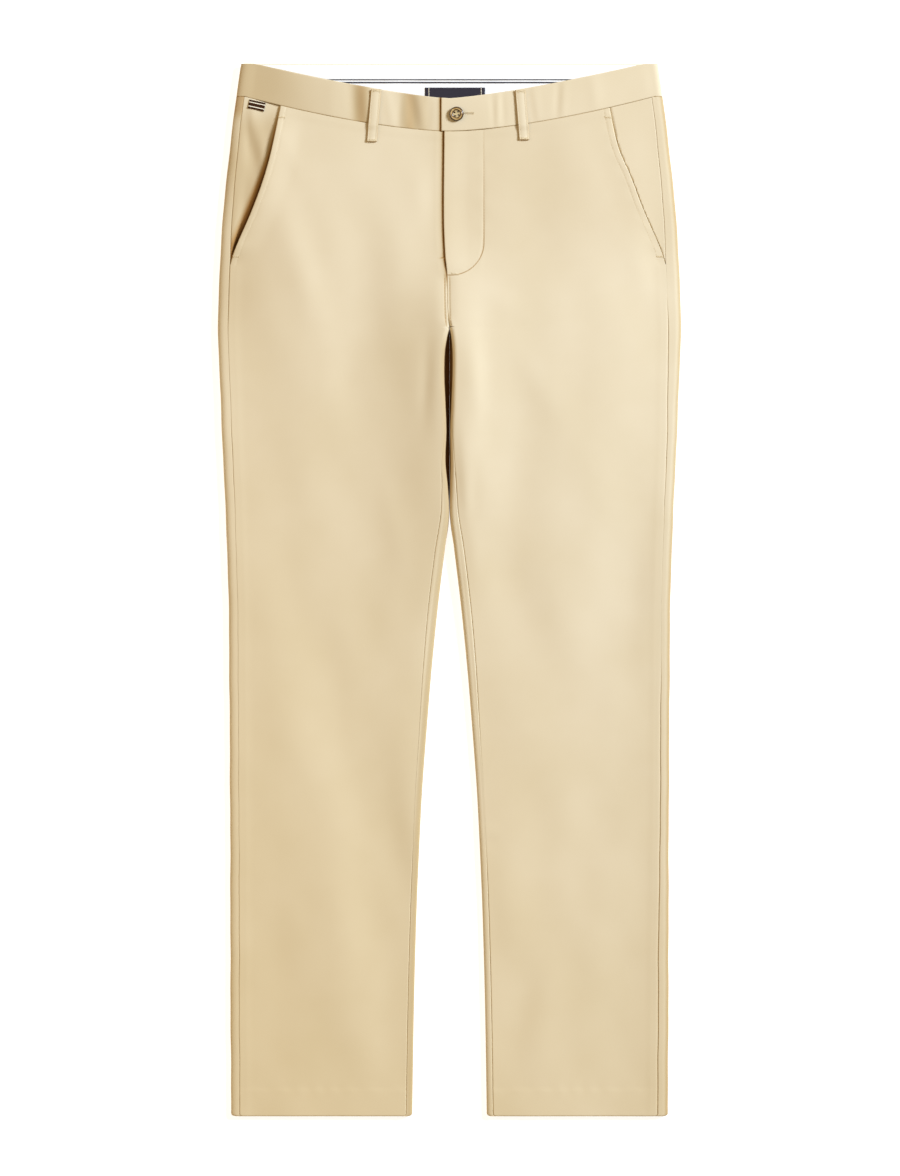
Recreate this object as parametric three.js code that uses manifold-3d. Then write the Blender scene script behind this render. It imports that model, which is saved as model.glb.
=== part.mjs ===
import * as THREE from "three";
import { mergeVertices } from "three/addons/utils/BufferGeometryUtils.js";
import Module from "manifold-3d";

// Chino trousers, 34 inch waist and 32 inch inseam, laid on their back with the front up.
// Millimetres. +X is towards the wearer's left, +Y towards the waist, +Z up from the surface they lie on.
// "down" is the distance below the top edge of the back, and "out" the distance from the centre plane.
// Each panel is a wall of cloth, worked out in cross-sections that run from one of its seams to the other.

const { smoothstep, clamp, lerp, degToRad } = THREE.MathUtils;

// Overall sizes
const LENGTH = 1090;
const BAND_HEIGHT = 34.2;
const FORK_DOWN = 275;
const LEFT = 1;
const RIGHT = -1;

// Thicknesses and gaps
const CLOTH = 1.5;
const HEM_CLOTH = 2.4;
const HEM_DEPTH = 28;
const BAND_CLOTH = 2.2;
const LINING_CLOTH = 1;
const SEAM_GAP = 0.3;
const LAYER_GAP = 0.3;

// The front's top edge hangs lower than the back's: its dip at the centre, and how the dip runs out sideways
const TOP_DIP = { depth: 36.2, width: 202, power: 1.3 };
const LOWER_DIP = { depth: 36.2, width: 212, power: 1.55 };
const DIP_ENDS_DOWN = 200;

// The outline and the height of the cloth. side is half the width; edge, body and middle are the heights of the
// top surface beside the outer fold, half way across a leg, and at the centre; inset is from outer fold to side seam.
const SECTIONS = [
  { down: 0, side: 215.8, edge: 8.6, body: 9.2, middle: 9.5, inset: 8.0 },
  { down: 70, side: 225.3, edge: 8.8, body: 10.0, middle: 10.4, inset: 8.2 },
  { down: 140, side: 233.2, edge: 9.0, body: 11.2, middle: 12.2, inset: 9.4 },
  { down: 210, side: 238.2, edge: 9.0, body: 12.4, middle: 15.4, inset: 10.4 },
  { down: 275, side: 239.8, edge: 9.0, body: 12.8, middle: 19.2, inset: 10.6 },
  { down: 340, side: 237.4, edge: 8.8, body: 12.4, middle: 19.0, inset: 10.4 },
  { down: 440, side: 233.2, edge: 8.4, body: 11.0, middle: 14.6, inset: 10.0 },
  { down: 540, side: 229.4, edge: 7.8, body: 9.4, middle: 9.6, inset: 9.6 },
  { down: 640, side: 228.0, edge: 7.2, body: 8.0, middle: 7.6, inset: 9.4 },
  { down: 800, side: 227.4, edge: 6.8, body: 7.0, middle: 6.8, inset: 9.2 },
  { down: 1090, side: 226.4, edge: 6.6, body: 6.8, middle: 6.6, inset: 9.0 },
];

// The inner edge of each leg, out from the centre plane. Above the fork it is the wrong side of the plane, and
// the legs are one. drop is how far the inseam lies down the inner fold, measured round from its top.
const INNER_EDGES = [
  { down: 205, right: -26, left: -26, drop: 12 },
  { down: 240, right: -11, left: -11, drop: 12 },
  { down: 258, right: -5, left: -5, drop: 12 },
  { down: 275, right: 0.2, left: 0.2, drop: 12 },
  { down: 285, right: 3.4, left: 2.2, drop: 11.5 },
  { down: 300, right: 5.9, left: 3.7, drop: 10 },
  { down: 325, right: 5.8, left: 3.4, drop: 8 },
  { down: 350, right: 4.3, left: 2.0, drop: 6 },
  { down: 380, right: 3.2, left: 0.8, drop: 3.5 },
  { down: 412, right: 4.2, left: 1.2, drop: 1 },
  { down: 440, right: 1.6, left: 0.6, drop: -1.5 },
  { down: 466, right: 0.5, left: 0.5, drop: -3.5 },
  { down: 503, right: 4.8, left: 4.8, drop: -5 },
  { down: 565, right: 12.2, left: 12.2, drop: -5 },
  { down: 627, right: 18.4, left: 18.4, drop: -4 },
  { down: 690, right: 23.6, left: 23.6, drop: -2.6 },
  { down: 752, right: 28.2, left: 28.2, drop: -2 },
  { down: 814, right: 31.4, left: 31.4, drop: -1.6 },
  { down: 876, right: 34.0, left: 34.0, drop: -1.5 },
  { down: 970, right: 36.6, left: 36.6, drop: -1.5 },
  { down: 1090, right: 38.6, left: 38.6, drop: -1.5 },
];

// Where the front edges meet: the fly's edge down to its bottom, then the centre front seam to the fork
const CENTRE_FRONT = [
  { down: 34, x: -5.4 },
  { down: 75, x: -5.7 },
  { down: 160, x: -6.2 },
  { down: 200, x: -4.6 },
  { down: 217, x: -2.8 },
  { down: 262, x: -1.8 },
  { down: 275, x: 0 },
];

// The slanted pocket mouths, out from the centre plane. The right one gapes.
const POCKET_MOUTHS = [
  { down: 34, right: 173, left: 163 },
  { down: 87, right: 183.6, left: 174.6 },
  { down: 117, right: 191.6, left: 187.4 },
  { down: 150, right: 203.6, left: 200 },
  { down: 191, right: 221.4, left: 219.4 },
  { down: 210, right: 227.8, left: 227.8 },
];
const POCKET_BOTTOM = 208;
const POCKET_GAPE = { right: { lift: 2.4, sink: 1.6 }, left: { lift: 0.5, sink: 0.3 } };
const POCKET_LIFT_WIDTH = 30;
const FACING_TUCK = 20;

// The largest soft folds. turn is the angle from straight down, towards the wearer's left.
const FOLDS = [
  { x: -140, down: 190, turn: 17, length: 330, width: 26, height: 1.5 },
  { x: -192, down: 330, turn: 4, length: 260, width: 24, height: -0.9 },
  { x: -190, down: 520, turn: 2, length: 330, width: 20, height: 1.0 },
  { x: -52, down: 215, turn: -4, length: 200, width: 22, height: 0.9 },
  { x: -42, down: 560, turn: -8, length: 320, width: 18, height: -0.9 },
  { x: -110, down: 800, turn: 5, length: 420, width: 26, height: 0.7 },
  { x: 34, down: 375, turn: -2, length: 280, width: 20, height: 1.3 },
  { x: 108, down: 520, turn: 10, length: 360, width: 30, height: 1.0 },
  { x: 186, down: 470, turn: -3, length: 300, width: 24, height: -0.8 },
  { x: 196, down: 150, turn: 6, length: 220, width: 18, height: 0.8 },
  { x: 120, down: 760, turn: -5, length: 420, width: 28, height: 0.6 },
];

// Folded edges: half widths of the roll at the side and at the inseam, and its share of the height
const SIDE_ROLL = { top: 6.6, bottom: 4.6 };
const INNER_ROLL = { top: 5, bottom: 3.6 };
const ROLL_SHARE = 0.42;
const ROLL_MOST = 4.2;
const GAP_FLOOR = { from: 250, closed: 268, opens: 440, open: 500, out: 0.15 };
const KNEE = { level: 0.7, bulge: 0.45 };

// The waist rests on the back belt loops, and the back comes down to the surface below them
const LOOP_CLOTH = 1.5;
const WAIST_RISE = { height: LOOP_CLOTH + LAYER_GAP, from: 58, to: 105 };

// The fly: the left front laps over the right one
const FLY = { bottom: 205, fades: 230, lap: 16, lapEnds: 194, lift: 1.2, sink: 1.2, liftWidth: 26, sinkWidth: 9 };
const BAND_LAP = { end: -8.9, under: 30, lift: 1.9, liftTo: 38, liftFades: 66, sink: 0.8, sinkFrom: -34, sinkTo: -13 };
const BAND_PROUD = 0.4;

// Waistband lining, piping and label, which lie inside the back
const LINING = { half: 203, top: 1.2, bottom: 56 };
const LINING_LEVEL = WAIST_RISE.height + BAND_CLOTH + LAYER_GAP;
const ON_LINING = LINING_LEVEL + LINING_CLOTH + LAYER_GAP;
const PIPING = { half: 202, thickness: 0.6 };
const PIPINGS = [
  { name: "lining_piping_upper", top: 15.9, bottom: 16.9 },
  { name: "lining_piping_lower", top: 18.7, bottom: 20.1 },
];
const LABEL = { from: -25.4, to: 36.8, top: 24.6, bottom: 44, thickness: 0.6 };

// Belt loops, and the small folded tape at the right hip, whose top edge is caught in the waist seam
const FRONT_LOOPS = {
  right: { topX: -75.8, bottomX: -80.4, from: 27.2, to: 81.4, width: 10.6 },
  left: { topX: 73.2, bottomX: 77.4, from: 28.0, to: 79.4, width: 10.6 },
};
const BACK_LOOPS = [
  { name: "belt_loop_back_right", x: -128 },
  { name: "belt_loop_back_centre", x: 0 },
  { name: "belt_loop_back_left", x: 128 },
];
const BACK_LOOP = { from: 1, to: 53, width: 10.6 };
const LOOP_ARCH = 1.3;
const TAB = { x: -199.6, down: 43.6, turn: 12, width: 17, height: 9, thickness: 1 };

// A four-hole button with a raised rim
const BUTTON = { x: 7.2, down: 52.8, radius: 7.4, thickness: 3, rim: 1.7, dish: 1, hole: 0.85, holeOut: 1.5 };

// Rows of points down a panel, and shares of the way across it or round it
const TRUNK_ROWS = [58, 82, 108, 138, 168, 190, 200, 206, 212, 226, 240, 251, 259, 265, 270, 273, FORK_DOWN];
const THIGH_ROWS = [278, 283, 290, 303, 325, 350, 380, 400, 416, 430, 443, 455, 466, 480, 503];
const LEG_ROWS = [545, 600, 670, 740, 815, 890, 965, 1030];
const HEM_ROWS = [LENGTH - HEM_DEPTH - 1, LENGTH - HEM_DEPTH, LENGTH];
const TOP_SHARES = [0, 0.035, 0.1, 0.21, 0.34, 0.48, 0.62, 0.75, 0.86, 0.94, 1];
const TURN_SHARES = [0, 0.2, 0.4, 0.6, 0.8, 1];
const TURN_WIDTH = 5;
const RISING_SHARES = [0, 0.16, 0.33, 0.5, 0.68, 0.84, 1];
const ROLL_STEPS = [0, 30, 60, 90];
const FLOOR_STEPS = 4;
const FACING_ROWS = [BAND_HEIGHT + 2 * SEAM_GAP, 58, 82, 108, 138, 168, 186, 198, 206.5];
const FACING_SHARES = [0, 0.12, 0.28, 0.46, 0.64, 0.82, 1];
const BAND_LEVELS = [0, 0.34, 0.67, 1];
const BAND_SHARES = [0, 0.06, 0.13, 0.22, 0.31, 0.4, 0.5, 0.6, 0.7, 0.8, 0.9, 0.96, 1];
const LOOP_SHARES = [0, 0.08, 0.2, 0.35, 0.5, 0.65, 0.8, 0.92, 1];

const COLOURS = {
  twill: 0xe1cca5,
  lining: 0xf7f5f0,
  navy: 0x2a2736,
  label: 0x35303e,
  tab: 0x4a3420,
  horn: 0x8f7748,
};

// A column of a table at a place between its rows, along a smooth curve
function along(rows, column, down) {
  const last = rows.length - 1;
  if (down <= rows[0].down) return rows[0][column];
  if (down >= rows[last].down) return rows[last][column];
  const i = rows.findIndex((row) => row.down > down) - 1;
  const slope = (a, b) => (rows[b][column] - rows[a][column]) / (rows[b].down - rows[a].down);
  const step = rows[i + 1].down - rows[i].down;
  const before = slope(Math.max(i - 1, 0), i + 1) * step;
  const after = slope(i, Math.min(i + 2, last)) * step;
  const t = (down - rows[i].down) / step;
  const [t2, t3] = [t * t, t * t * t];
  const [a, b] = [rows[i][column], rows[i + 1][column]];
  return a * (2 * t3 - 3 * t2 + 1) + before * (t3 - 2 * t2 + t) + b * (3 * t2 - 2 * t3) + after * (t3 - t2);
}

const nameOf = (side) => (side === LEFT ? "left" : "right");
const sideEdge = (down) => along(SECTIONS, "side", down);
const sideSeam = (down) => sideEdge(down) - along(SECTIONS, "inset", down);
const innerEdge = (side, down) => along(INNER_EDGES, nameOf(side), down);
const pocketMouth = (side, down) => along(POCKET_MOUTHS, nameOf(side), down);
const dipOf = (shape, x) => shape.depth * (1 - Math.min(1, Math.abs(x) / shape.width) ** shape.power);
const waistRise = (down) => WAIST_RISE.height * (1 - smoothstep(down, WAIST_RISE.from, WAIST_RISE.to));

// How far the points of a front row are shifted down at x, so that the first row follows the waist seam
function rowDown(row, x) {
  return row + dipOf(LOWER_DIP, x) * (1 - smoothstep(row, BAND_HEIGHT, DIP_ENDS_DOWN));
}

function foldHeight(x, down) {
  let sum = 0;
  for (const fold of FOLDS) {
    const [sin, cos] = [Math.sin(degToRad(fold.turn)), Math.cos(degToRad(fold.turn))];
    const lengthwise = (x - fold.x) * sin + (down - fold.down) * cos;
    const across = (x - fold.x) * cos - (down - fold.down) * sin;
    if (Math.abs(lengthwise) > fold.length / 2) continue;
    const taper = Math.cos((Math.PI * lengthwise) / fold.length) ** 2;
    sum += fold.height * taper * Math.exp(-((across / fold.width) ** 2));
  }
  return sum;
}

// The height of the top surface of the front
function topHeight(x, down) {
  const side = sideEdge(down);
  const inner = Math.max(0, innerEdge(x > 0 ? LEFT : RIGHT, down));
  const share = clamp((Math.abs(x) - inner) / (side - inner), 0, 1);
  const [edge, body, middle] = ["edge", "body", "middle"].map((name) => along(SECTIONS, name, down));
  const towardsCentre = 1 - smoothstep(share, 0, 0.42);
  const towardsSide = smoothstep(share, 0.6, 0.97);
  return body + (middle - body) * towardsCentre + (edge - body) * towardsSide + foldHeight(x, down);
}

// A point of a cross-section is [out, height, inner out, inner height]: a point on the cloth's outer face and the
// point of its inner face behind it. Here the cloth lies face up and face down.
const faceUp = (out, height, cloth) => [out, height, out, height - cloth];
const faceDown = (out, height, cloth) => [out, height, out, height + cloth];
const mix = (a, b, t) => a.map((value, k) => lerp(value, b[k], t));

// A folded edge between a top and a floor, from the top round to the floor. lip and foot are how far out the fold
// reaches above and below, and facing is 1 for the side of the leg and -1 for its inner edge.
function fold({ lip, foot, top, floor, cloth, roll, facing }) {
  const rise = Math.min(ROLL_MOST, ROLL_SHARE * (top - floor));
  const angles = ROLL_STEPS.map(degToRad);
  const bend = (edge, width, level, cos, sin) => [
    edge - facing * width * (1 - sin),
    level + rise * cos,
    edge - facing * (width - (width - cloth) * sin),
    level + (rise - cloth) * cos,
  ];
  const over = angles.map((a) => bend(lip, roll.top, top - rise, Math.cos(a), Math.sin(a)));
  const under = angles.map((a) => bend(foot, roll.bottom, floor + rise, -Math.sin(a), Math.cos(a)));
  return [...over, ...under];
}

function sideFold(side, down, cloth, proud = 0) {
  const edge = sideEdge(down);
  const top = topHeight(side * (edge - SIDE_ROLL.top), down) + proud;
  return fold({ lip: edge, foot: edge, top, floor: waistRise(down), cloth, roll: SIDE_ROLL, facing: 1 });
}

// The inner edge of a leg. Along the gap below the fork its foot leans in until it meets the other leg's.
function innerFold(side, down, cloth) {
  const lip = innerEdge(side, down);
  const closes = smoothstep(down, GAP_FLOOR.from, GAP_FLOOR.closed) * (1 - smoothstep(down, GAP_FLOOR.opens, GAP_FLOOR.open));
  const foot = down < FORK_DOWN ? lip : lerp(lip, GAP_FLOOR.out, closes);
  const top = topHeight(side * Math.max(lip + INNER_ROLL.top, 0), down);
  const path = fold({ lip, foot, top, floor: waistRise(down), cloth, roll: INNER_ROLL, facing: -1 });
  const knee = mix(path[ROLL_STEPS.length - 1], path[ROLL_STEPS.length], KNEE.level);
  const bulge = KNEE.bulge * (lip - foot);
  path.splice(ROLL_STEPS.length, 0, [knee[0] + bulge, knee[1], knee[2] + bulge, knee[3]]);
  return path;
}

const stepLength = (path, i) => Math.hypot(path[i][0] - path[i - 1][0], path[i][1] - path[i - 1][1]);

function pathLength(path) {
  let sum = 0;
  for (let i = 1; i < path.length; i++) sum += stepLength(path, i);
  return sum;
}

// The first stretch of a path, up to a distance from its start
function firstPart(path, length) {
  const kept = [path[0]];
  let left = length;
  for (let i = 1; i < path.length; i++) {
    const step = stepLength(path, i);
    if (left <= step) return [...kept, mix(path[i - 1], path[i], step ? left / step : 0)];
    left -= step;
    kept.push(path[i]);
  }
  return kept;
}

// The first stretch of a path, up to where it comes as near the centre plane as out
function cutAt(path, out) {
  const end = path.findIndex((point) => point[0] <= out);
  if (end < 1) return path;
  const [a, b] = [path[end - 1], path[end]];
  return [...path.slice(0, end), mix(a, b, (a[0] - out) / (a[0] - b[0]))];
}

// Points at the given shares of a path's length
function spread(path, shares) {
  const total = pathLength(path);
  return shares.map((share) => firstPart(path, share * total).at(-1));
}

// The front's surface along a row, from one distance out to another
function topPath(side, row, from, to, cloth) {
  return TOP_SHARES.map((share) => {
    const out = lerp(from, to, share);
    const down = rowDown(row, side * out);
    return faceUp(out, topHeight(side * out, down) + frontLift(side, side * out, down), cloth);
  });
}

const pocketEnds = (down) => smoothstep(down, 40, 90) * (1 - smoothstep(down, POCKET_BOTTOM - 22, POCKET_BOTTOM));

// How far the front's cloth stands above or below the common surface where pieces lap
function frontLift(side, x, down) {
  const toMouth = pocketMouth(side, down) - side * x;
  const { lift } = POCKET_GAPE[nameOf(side)];
  const atPocket = lift * (1 - smoothstep(toMouth, 0, POCKET_LIFT_WIDTH)) * pocketEnds(down);
  const toFly = x - along(CENTRE_FRONT, "x", down);
  const flyEnds = 1 - smoothstep(down, FLY.bottom, FLY.fades);
  if (side === LEFT) return atPocket + FLY.lift * (1 - smoothstep(toFly, 0, FLY.liftWidth)) * flyEnds;
  return atPocket - FLY.sink * smoothstep(toFly, -FLY.sinkWidth, -0.5) * flyEnds;
}

// One row of a front panel: from the pocket mouth or side seam to the centre front or inseam. The last stretch,
// which turns down over the inner fold, is spaced by itself.
function frontRow(side, row, cloth) {
  const outerDown = rowDown(row, side * pocketMouth(side, row));
  const outer = outerDown < POCKET_BOTTOM ? pocketMouth(side, outerDown) : sideSeam(outerDown);
  const edge = innerFold(side, row, cloth);
  const shoulder = edge[0][0];
  let [turn, stop, over] = [0, 0, []];
  if (row >= FORK_DOWN) {
    const drop = along(INNER_EDGES, "drop", row) - SEAM_GAP / 2;
    stop = shoulder - Math.min(drop, 0);
    turn = shoulder + Math.max(0, TURN_WIDTH - drop);
    if (drop > 0) over = firstPart(edge, drop);
  } else {
    const down = rowDown(row, 0);
    const lap = side === RIGHT ? FLY.lap * (1 - smoothstep(down, FLY.lapEnds, FLY.bottom)) : 0;
    const inner = side * (along(CENTRE_FRONT, "x", down) + lap) + (lap > 0 ? 0 : SEAM_GAP / 2);
    stop = Math.max(shoulder, inner);
    turn = Math.max(shoulder, inner + TURN_WIDTH);
    if (shoulder > inner) over = cutAt(edge, inner);
  }
  const top = topPath(side, row, outer - SEAM_GAP / 2, turn, cloth);
  const end = [...topPath(side, row, turn, stop, cloth), ...over.slice(1)];
  return [...spread(top, TOP_SHARES), ...spread(end, TURN_SHARES).slice(1)];
}

// One row of a back panel: from the side seam round the folded edge, along the floor, and up to the seat seam or inseam
function backRow(side, row, cloth) {
  const seam = sideSeam(row) + SEAM_GAP / 2;
  const outer = sideFold(side, row, cloth);
  const flap = faceUp(seam, topHeight(side * seam, row), cloth);
  const inner = innerFold(side, row, cloth).reverse();
  let rising;
  if (row < FORK_DOWN) {
    const plane = SEAM_GAP / 2;
    const ground = faceDown(plane + 6, waistRise(row), cloth);
    rising = cutAt([ground, ...inner], plane);
  } else {
    const drop = along(INNER_EDGES, "drop", row) + SEAM_GAP / 2;
    rising = drop > 0 ? firstPart(inner, pathLength(inner) - drop) : inner;
    const out = inner.at(-1)[0] - drop;
    if (drop < 0) rising.push(faceUp(out, topHeight(side * out, row), cloth));
  }
  const floor = [];
  for (let i = 1; i < FLOOR_STEPS; i++) floor.push(mix(outer.at(-1), rising[0], i / FLOOR_STEPS));
  return [flap, ...outer, ...floor, ...spread(rising, RISING_SHARES)];
}

const spot = (x, down, height) => new THREE.Vector3(x, LENGTH / 2 - down, height);

// The two faces of the cloth at a point of a cross-section
function faces(side, down, [out, height, innerOut, innerHeight]) {
  return { outer: spot(side * out, down, height), inner: spot(side * innerOut, down, innerHeight) };
}

// A closed wall of cloth from a grid of outer and inner points: both faces and the four edges.
// facing is 1 where the way across the grid, turned to the way down it, points out of the cloth, and else -1.
function wall(grid, facing) {
  const [rows, columns] = [grid.length, grid[0].length];
  const points = grid.flat();
  const index = [];
  const quad = (a, b, c, d) => (facing > 0 ? index.push(a, b, c, a, c, d) : index.push(a, c, b, a, d, c));
  const id = (i, j) => i * columns + j;
  const inside = (i, j) => points.length + id(i, j);
  const band = (i, j, k, l) => quad(id(i, j), id(k, l), inside(k, l), inside(i, j));
  for (let i = 0; i + 1 < rows; i++) {
    for (let j = 0; j + 1 < columns; j++) {
      quad(id(i, j), id(i, j + 1), id(i + 1, j + 1), id(i + 1, j));
      quad(inside(i, j), inside(i + 1, j), inside(i + 1, j + 1), inside(i, j + 1));
    }
    band(i, 0, i + 1, 0);
    band(i + 1, columns - 1, i, columns - 1);
  }
  for (let j = 0; j + 1 < columns; j++) {
    band(0, j + 1, 0, j);
    band(rows - 1, j, rows - 1, j + 1);
  }
  const all = [...points.map((point) => point.outer), ...points.map((point) => point.inner)];
  return new THREE.BufferGeometry().setFromPoints(all).setIndex(index);
}

const PANEL_ROWS = [BAND_HEIGHT + SEAM_GAP, ...TRUNK_ROWS, ...THIGH_ROWS, ...LEG_ROWS, ...HEM_ROWS];
const clothAt = (row) => (row >= LENGTH - HEM_DEPTH ? HEM_CLOTH : CLOTH);

function frontPanel(side) {
  const grid = PANEL_ROWS.map((row) =>
    frontRow(side, row, clothAt(row)).map((point) => faces(side, rowDown(row, side * point[0]), point)),
  );
  return wall(grid, side);
}

function backPanel(side) {
  const grid = PANEL_ROWS.map((row) => backRow(side, row, clothAt(row)).map((point) => faces(side, row, point)));
  return wall(grid, -side);
}

// The height of the piece that shows inside the slanted pocket mouth: under the front at the mouth, and rising to
// the side seam
function facingHeight(side, out, down) {
  const shown = Math.max(sideSeam(down) - pocketMouth(side, down), 6);
  const sink = CLOTH + LAYER_GAP + POCKET_GAPE[nameOf(side)].sink * pocketEnds(down);
  const rises = smoothstep(out - pocketMouth(side, down), 0.5, shown - 2);
  return topHeight(side * out, down) - sink * (1 - rises);
}

function pocketFacing(side) {
  const grid = FACING_ROWS.map((row) => {
    const outerDown = rowDown(row, side * sideSeam(row));
    const outer = sideSeam(outerDown) - SEAM_GAP / 2;
    const inner = pocketMouth(side, outerDown) - FACING_TUCK;
    return FACING_SHARES.map((share) => {
      const out = lerp(outer, inner, share);
      const down = rowDown(row, side * out);
      return faces(side, down, faceUp(out, facingHeight(side, out, down), CLOTH));
    });
  });
  return wall(grid, side);
}

// The upper and lower edges of the waistband at x on the front
const bandTop = (x) => dipOf(TOP_DIP, x);
const bandBottom = (x) => BAND_HEIGHT + dipOf(LOWER_DIP, x);

// The height of the waistband's outer face over the front, with the laps at the centre
function bandHeight(side, x, down) {
  const base = topHeight(x, down) + BAND_PROUD;
  if (side === LEFT) return base + BAND_LAP.lift * (1 - smoothstep(x, BAND_LAP.liftTo, BAND_LAP.liftFades));
  return base - BAND_LAP.sink * smoothstep(x, BAND_LAP.sinkFrom, BAND_LAP.sinkTo);
}

// One half of the waistband, from its end at the centre front round the side to the centre back
function waistband(side) {
  const end = side === LEFT ? BAND_LAP.end : -BAND_LAP.under;
  const grid = BAND_LEVELS.map((level) => {
    const backDown = level * BAND_HEIGHT;
    const roll = sideFold(side, backDown, BAND_CLOTH, BAND_PROUD);
    const front = BAND_SHARES.map((share) => {
      const out = lerp(end, roll[0][0], share);
      const down = lerp(bandTop(out), bandBottom(out), level);
      return faces(side, down, faceUp(out, bandHeight(side, side * out, down), BAND_CLOTH));
    });
    const seat = faceDown(SEAM_GAP / 2, waistRise(backDown), BAND_CLOTH);
    const back = [0.25, 0.5, 0.75, 1].map((share) => mix(roll.at(-1), seat, share));
    return [...front, ...[...roll.slice(1), ...back].map((point) => faces(side, backDown, point))];
  });
  return wall(grid, -side);
}

// A flat strip that lies on the inside of the back
function insideStrip({ from, to, top, bottom, level, thickness, columns = 10 }) {
  const grid = [top, bottom].map((down) =>
    Array.from({ length: columns + 1 }, (_, j) =>
      faces(1, down, faceUp(lerp(from, to, j / columns), level + thickness, thickness)),
    ),
  );
  return wall(grid, -1);
}

// A belt loop on the front, sewn down at the waistband's top edge and below its seam
function frontLoop({ topX, bottomX, from, to, width }) {
  const grid = LOOP_SHARES.map((share) => {
    const down = lerp(from, to, share);
    const centre = lerp(topX, bottomX, share);
    const onBand = 1 - smoothstep(down, bandBottom(centre) + 1, bandBottom(centre) + 8);
    return [-width / 2, 0, width / 2].map((across) => {
      const under = topHeight(centre + across, down) + (BAND_PROUD + 0.15) * onBand;
      const arch = LOOP_ARCH * Math.sin(Math.PI * share) ** 0.8;
      return faces(1, down, faceUp(centre + across, under + LAYER_GAP + LOOP_CLOTH + arch, LOOP_CLOTH));
    });
  });
  return wall(grid, -1);
}

function backLoop({ x }) {
  const { from, to, width } = BACK_LOOP;
  const grid = [from, (from + to) / 2, to].map((down) =>
    [-0.5, 0.5].map((share) => faces(1, down, faceUp(x + share * width, LOOP_CLOTH, LOOP_CLOTH))),
  );
  return wall(grid, -1);
}

function sideTab() {
  const angle = degToRad(TAB.turn);
  const grid = [-0.5, 0, 0.5].map((level) =>
    [-0.5, -0.17, 0.17, 0.5].map((share) => {
      const [across, below] = [share * TAB.width, level * TAB.height];
      const x = TAB.x + across * Math.cos(angle) - below * Math.sin(angle);
      const down = TAB.down + across * Math.sin(angle) + below * Math.cos(angle);
      return faces(1, down, faceUp(x, facingHeight(RIGHT, -x, down) + LAYER_GAP + TAB.thickness, TAB.thickness));
    }),
  );
  return wall(grid, -1);
}

const wasm = await Module();
wasm.setup();

function solid(geometry) {
  const bare = geometry.clone();
  bare.deleteAttribute("normal");
  bare.deleteAttribute("uv");
  const merged = mergeVertices(bare, 1e-4);
  const vertProperties = merged.attributes.position.array;
  return new wasm.Manifold(new wasm.Mesh({ numProp: 3, vertProperties, triVerts: new Uint32Array(merged.index.array) }));
}

function geometryOf(manifold) {
  const mesh = manifold.getMesh();
  return new THREE.BufferGeometry()
    .setAttribute("position", new THREE.BufferAttribute(mesh.vertProperties, 3))
    .setIndex(new THREE.BufferAttribute(mesh.triVerts, 1));
}

// The button is turned about its own axis and its holes are cut through
function button() {
  const { radius, thickness, rim, dish } = BUTTON;
  const profile = [
    [0, 0],
    [radius - 1.6, 0],
    [radius - 0.3, 0.9],
    [radius, 1.7],
    [radius - 0.4, thickness - 0.4],
    [radius - 0.9, thickness],
    [radius - rim, thickness - 0.3],
    [radius - rim - 0.9, thickness - dish],
    [0, thickness - dish],
  ].map(([out, height]) => new THREE.Vector2(out, height));
  let made = solid(new THREE.LatheGeometry(profile, 28).rotateX(Math.PI / 2));
  for (const [a, b] of [[-1, -1], [-1, 1], [1, -1], [1, 1]]) {
    const hole = new THREE.CylinderGeometry(BUTTON.hole, BUTTON.hole, thickness * 2, 8).rotateX(Math.PI / 2);
    made = made.subtract(solid(hole.translate(a * BUTTON.holeOut, b * BUTTON.holeOut, thickness / 2)));
  }
  return geometryOf(made);
}

const group = new THREE.Group();

function add(name, geometry, color, roughness = 0.9) {
  const mesh = new THREE.Mesh(geometry, new THREE.MeshStandardMaterial({ color, roughness, metalness: 0 }));
  mesh.name = name;
  group.add(mesh);
  return mesh;
}

for (const side of [LEFT, RIGHT]) {
  const name = nameOf(side);
  add(`${name}_front`, frontPanel(side), COLOURS.twill);
  add(`${name}_back`, backPanel(side), COLOURS.twill);
  add(`${name}_pocket_facing`, pocketFacing(side), COLOURS.twill);
  add(`waistband_${name}`, waistband(side), COLOURS.twill);
  add(`belt_loop_front_${name}`, frontLoop(FRONT_LOOPS[name]), COLOURS.twill);
}
for (const loop of BACK_LOOPS) add(loop.name, backLoop(loop), COLOURS.twill);

const lining = { ...LINING, from: -LINING.half, to: LINING.half, level: LINING_LEVEL, thickness: LINING_CLOTH };
add("waistband_lining", insideStrip(lining), COLOURS.lining);
for (const { name, top, bottom } of PIPINGS) {
  const strip = { ...PIPING, from: -PIPING.half, to: PIPING.half, top, bottom, level: ON_LINING };
  add(name, insideStrip(strip), COLOURS.navy);
}
add("waist_label", insideStrip({ ...LABEL, level: ON_LINING, columns: 4 }), COLOURS.label);
add("side_tab", sideTab(), COLOURS.tab);

const fastener = add("waist_button", button(), COLOURS.horn, 0.35);
const buttonSeat = bandHeight(LEFT, BUTTON.x, BUTTON.down) + LAYER_GAP + 0.1;
fastener.position.copy(spot(BUTTON.x, BUTTON.down, buttonSeat));

export default group;
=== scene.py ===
"""Chino trousers laid flat on their back: the cloth, trim and stitches over their plain solids."""

import math

import bmesh
import bpy
import numpy as np
from mathutils import Matrix, Vector


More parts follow.
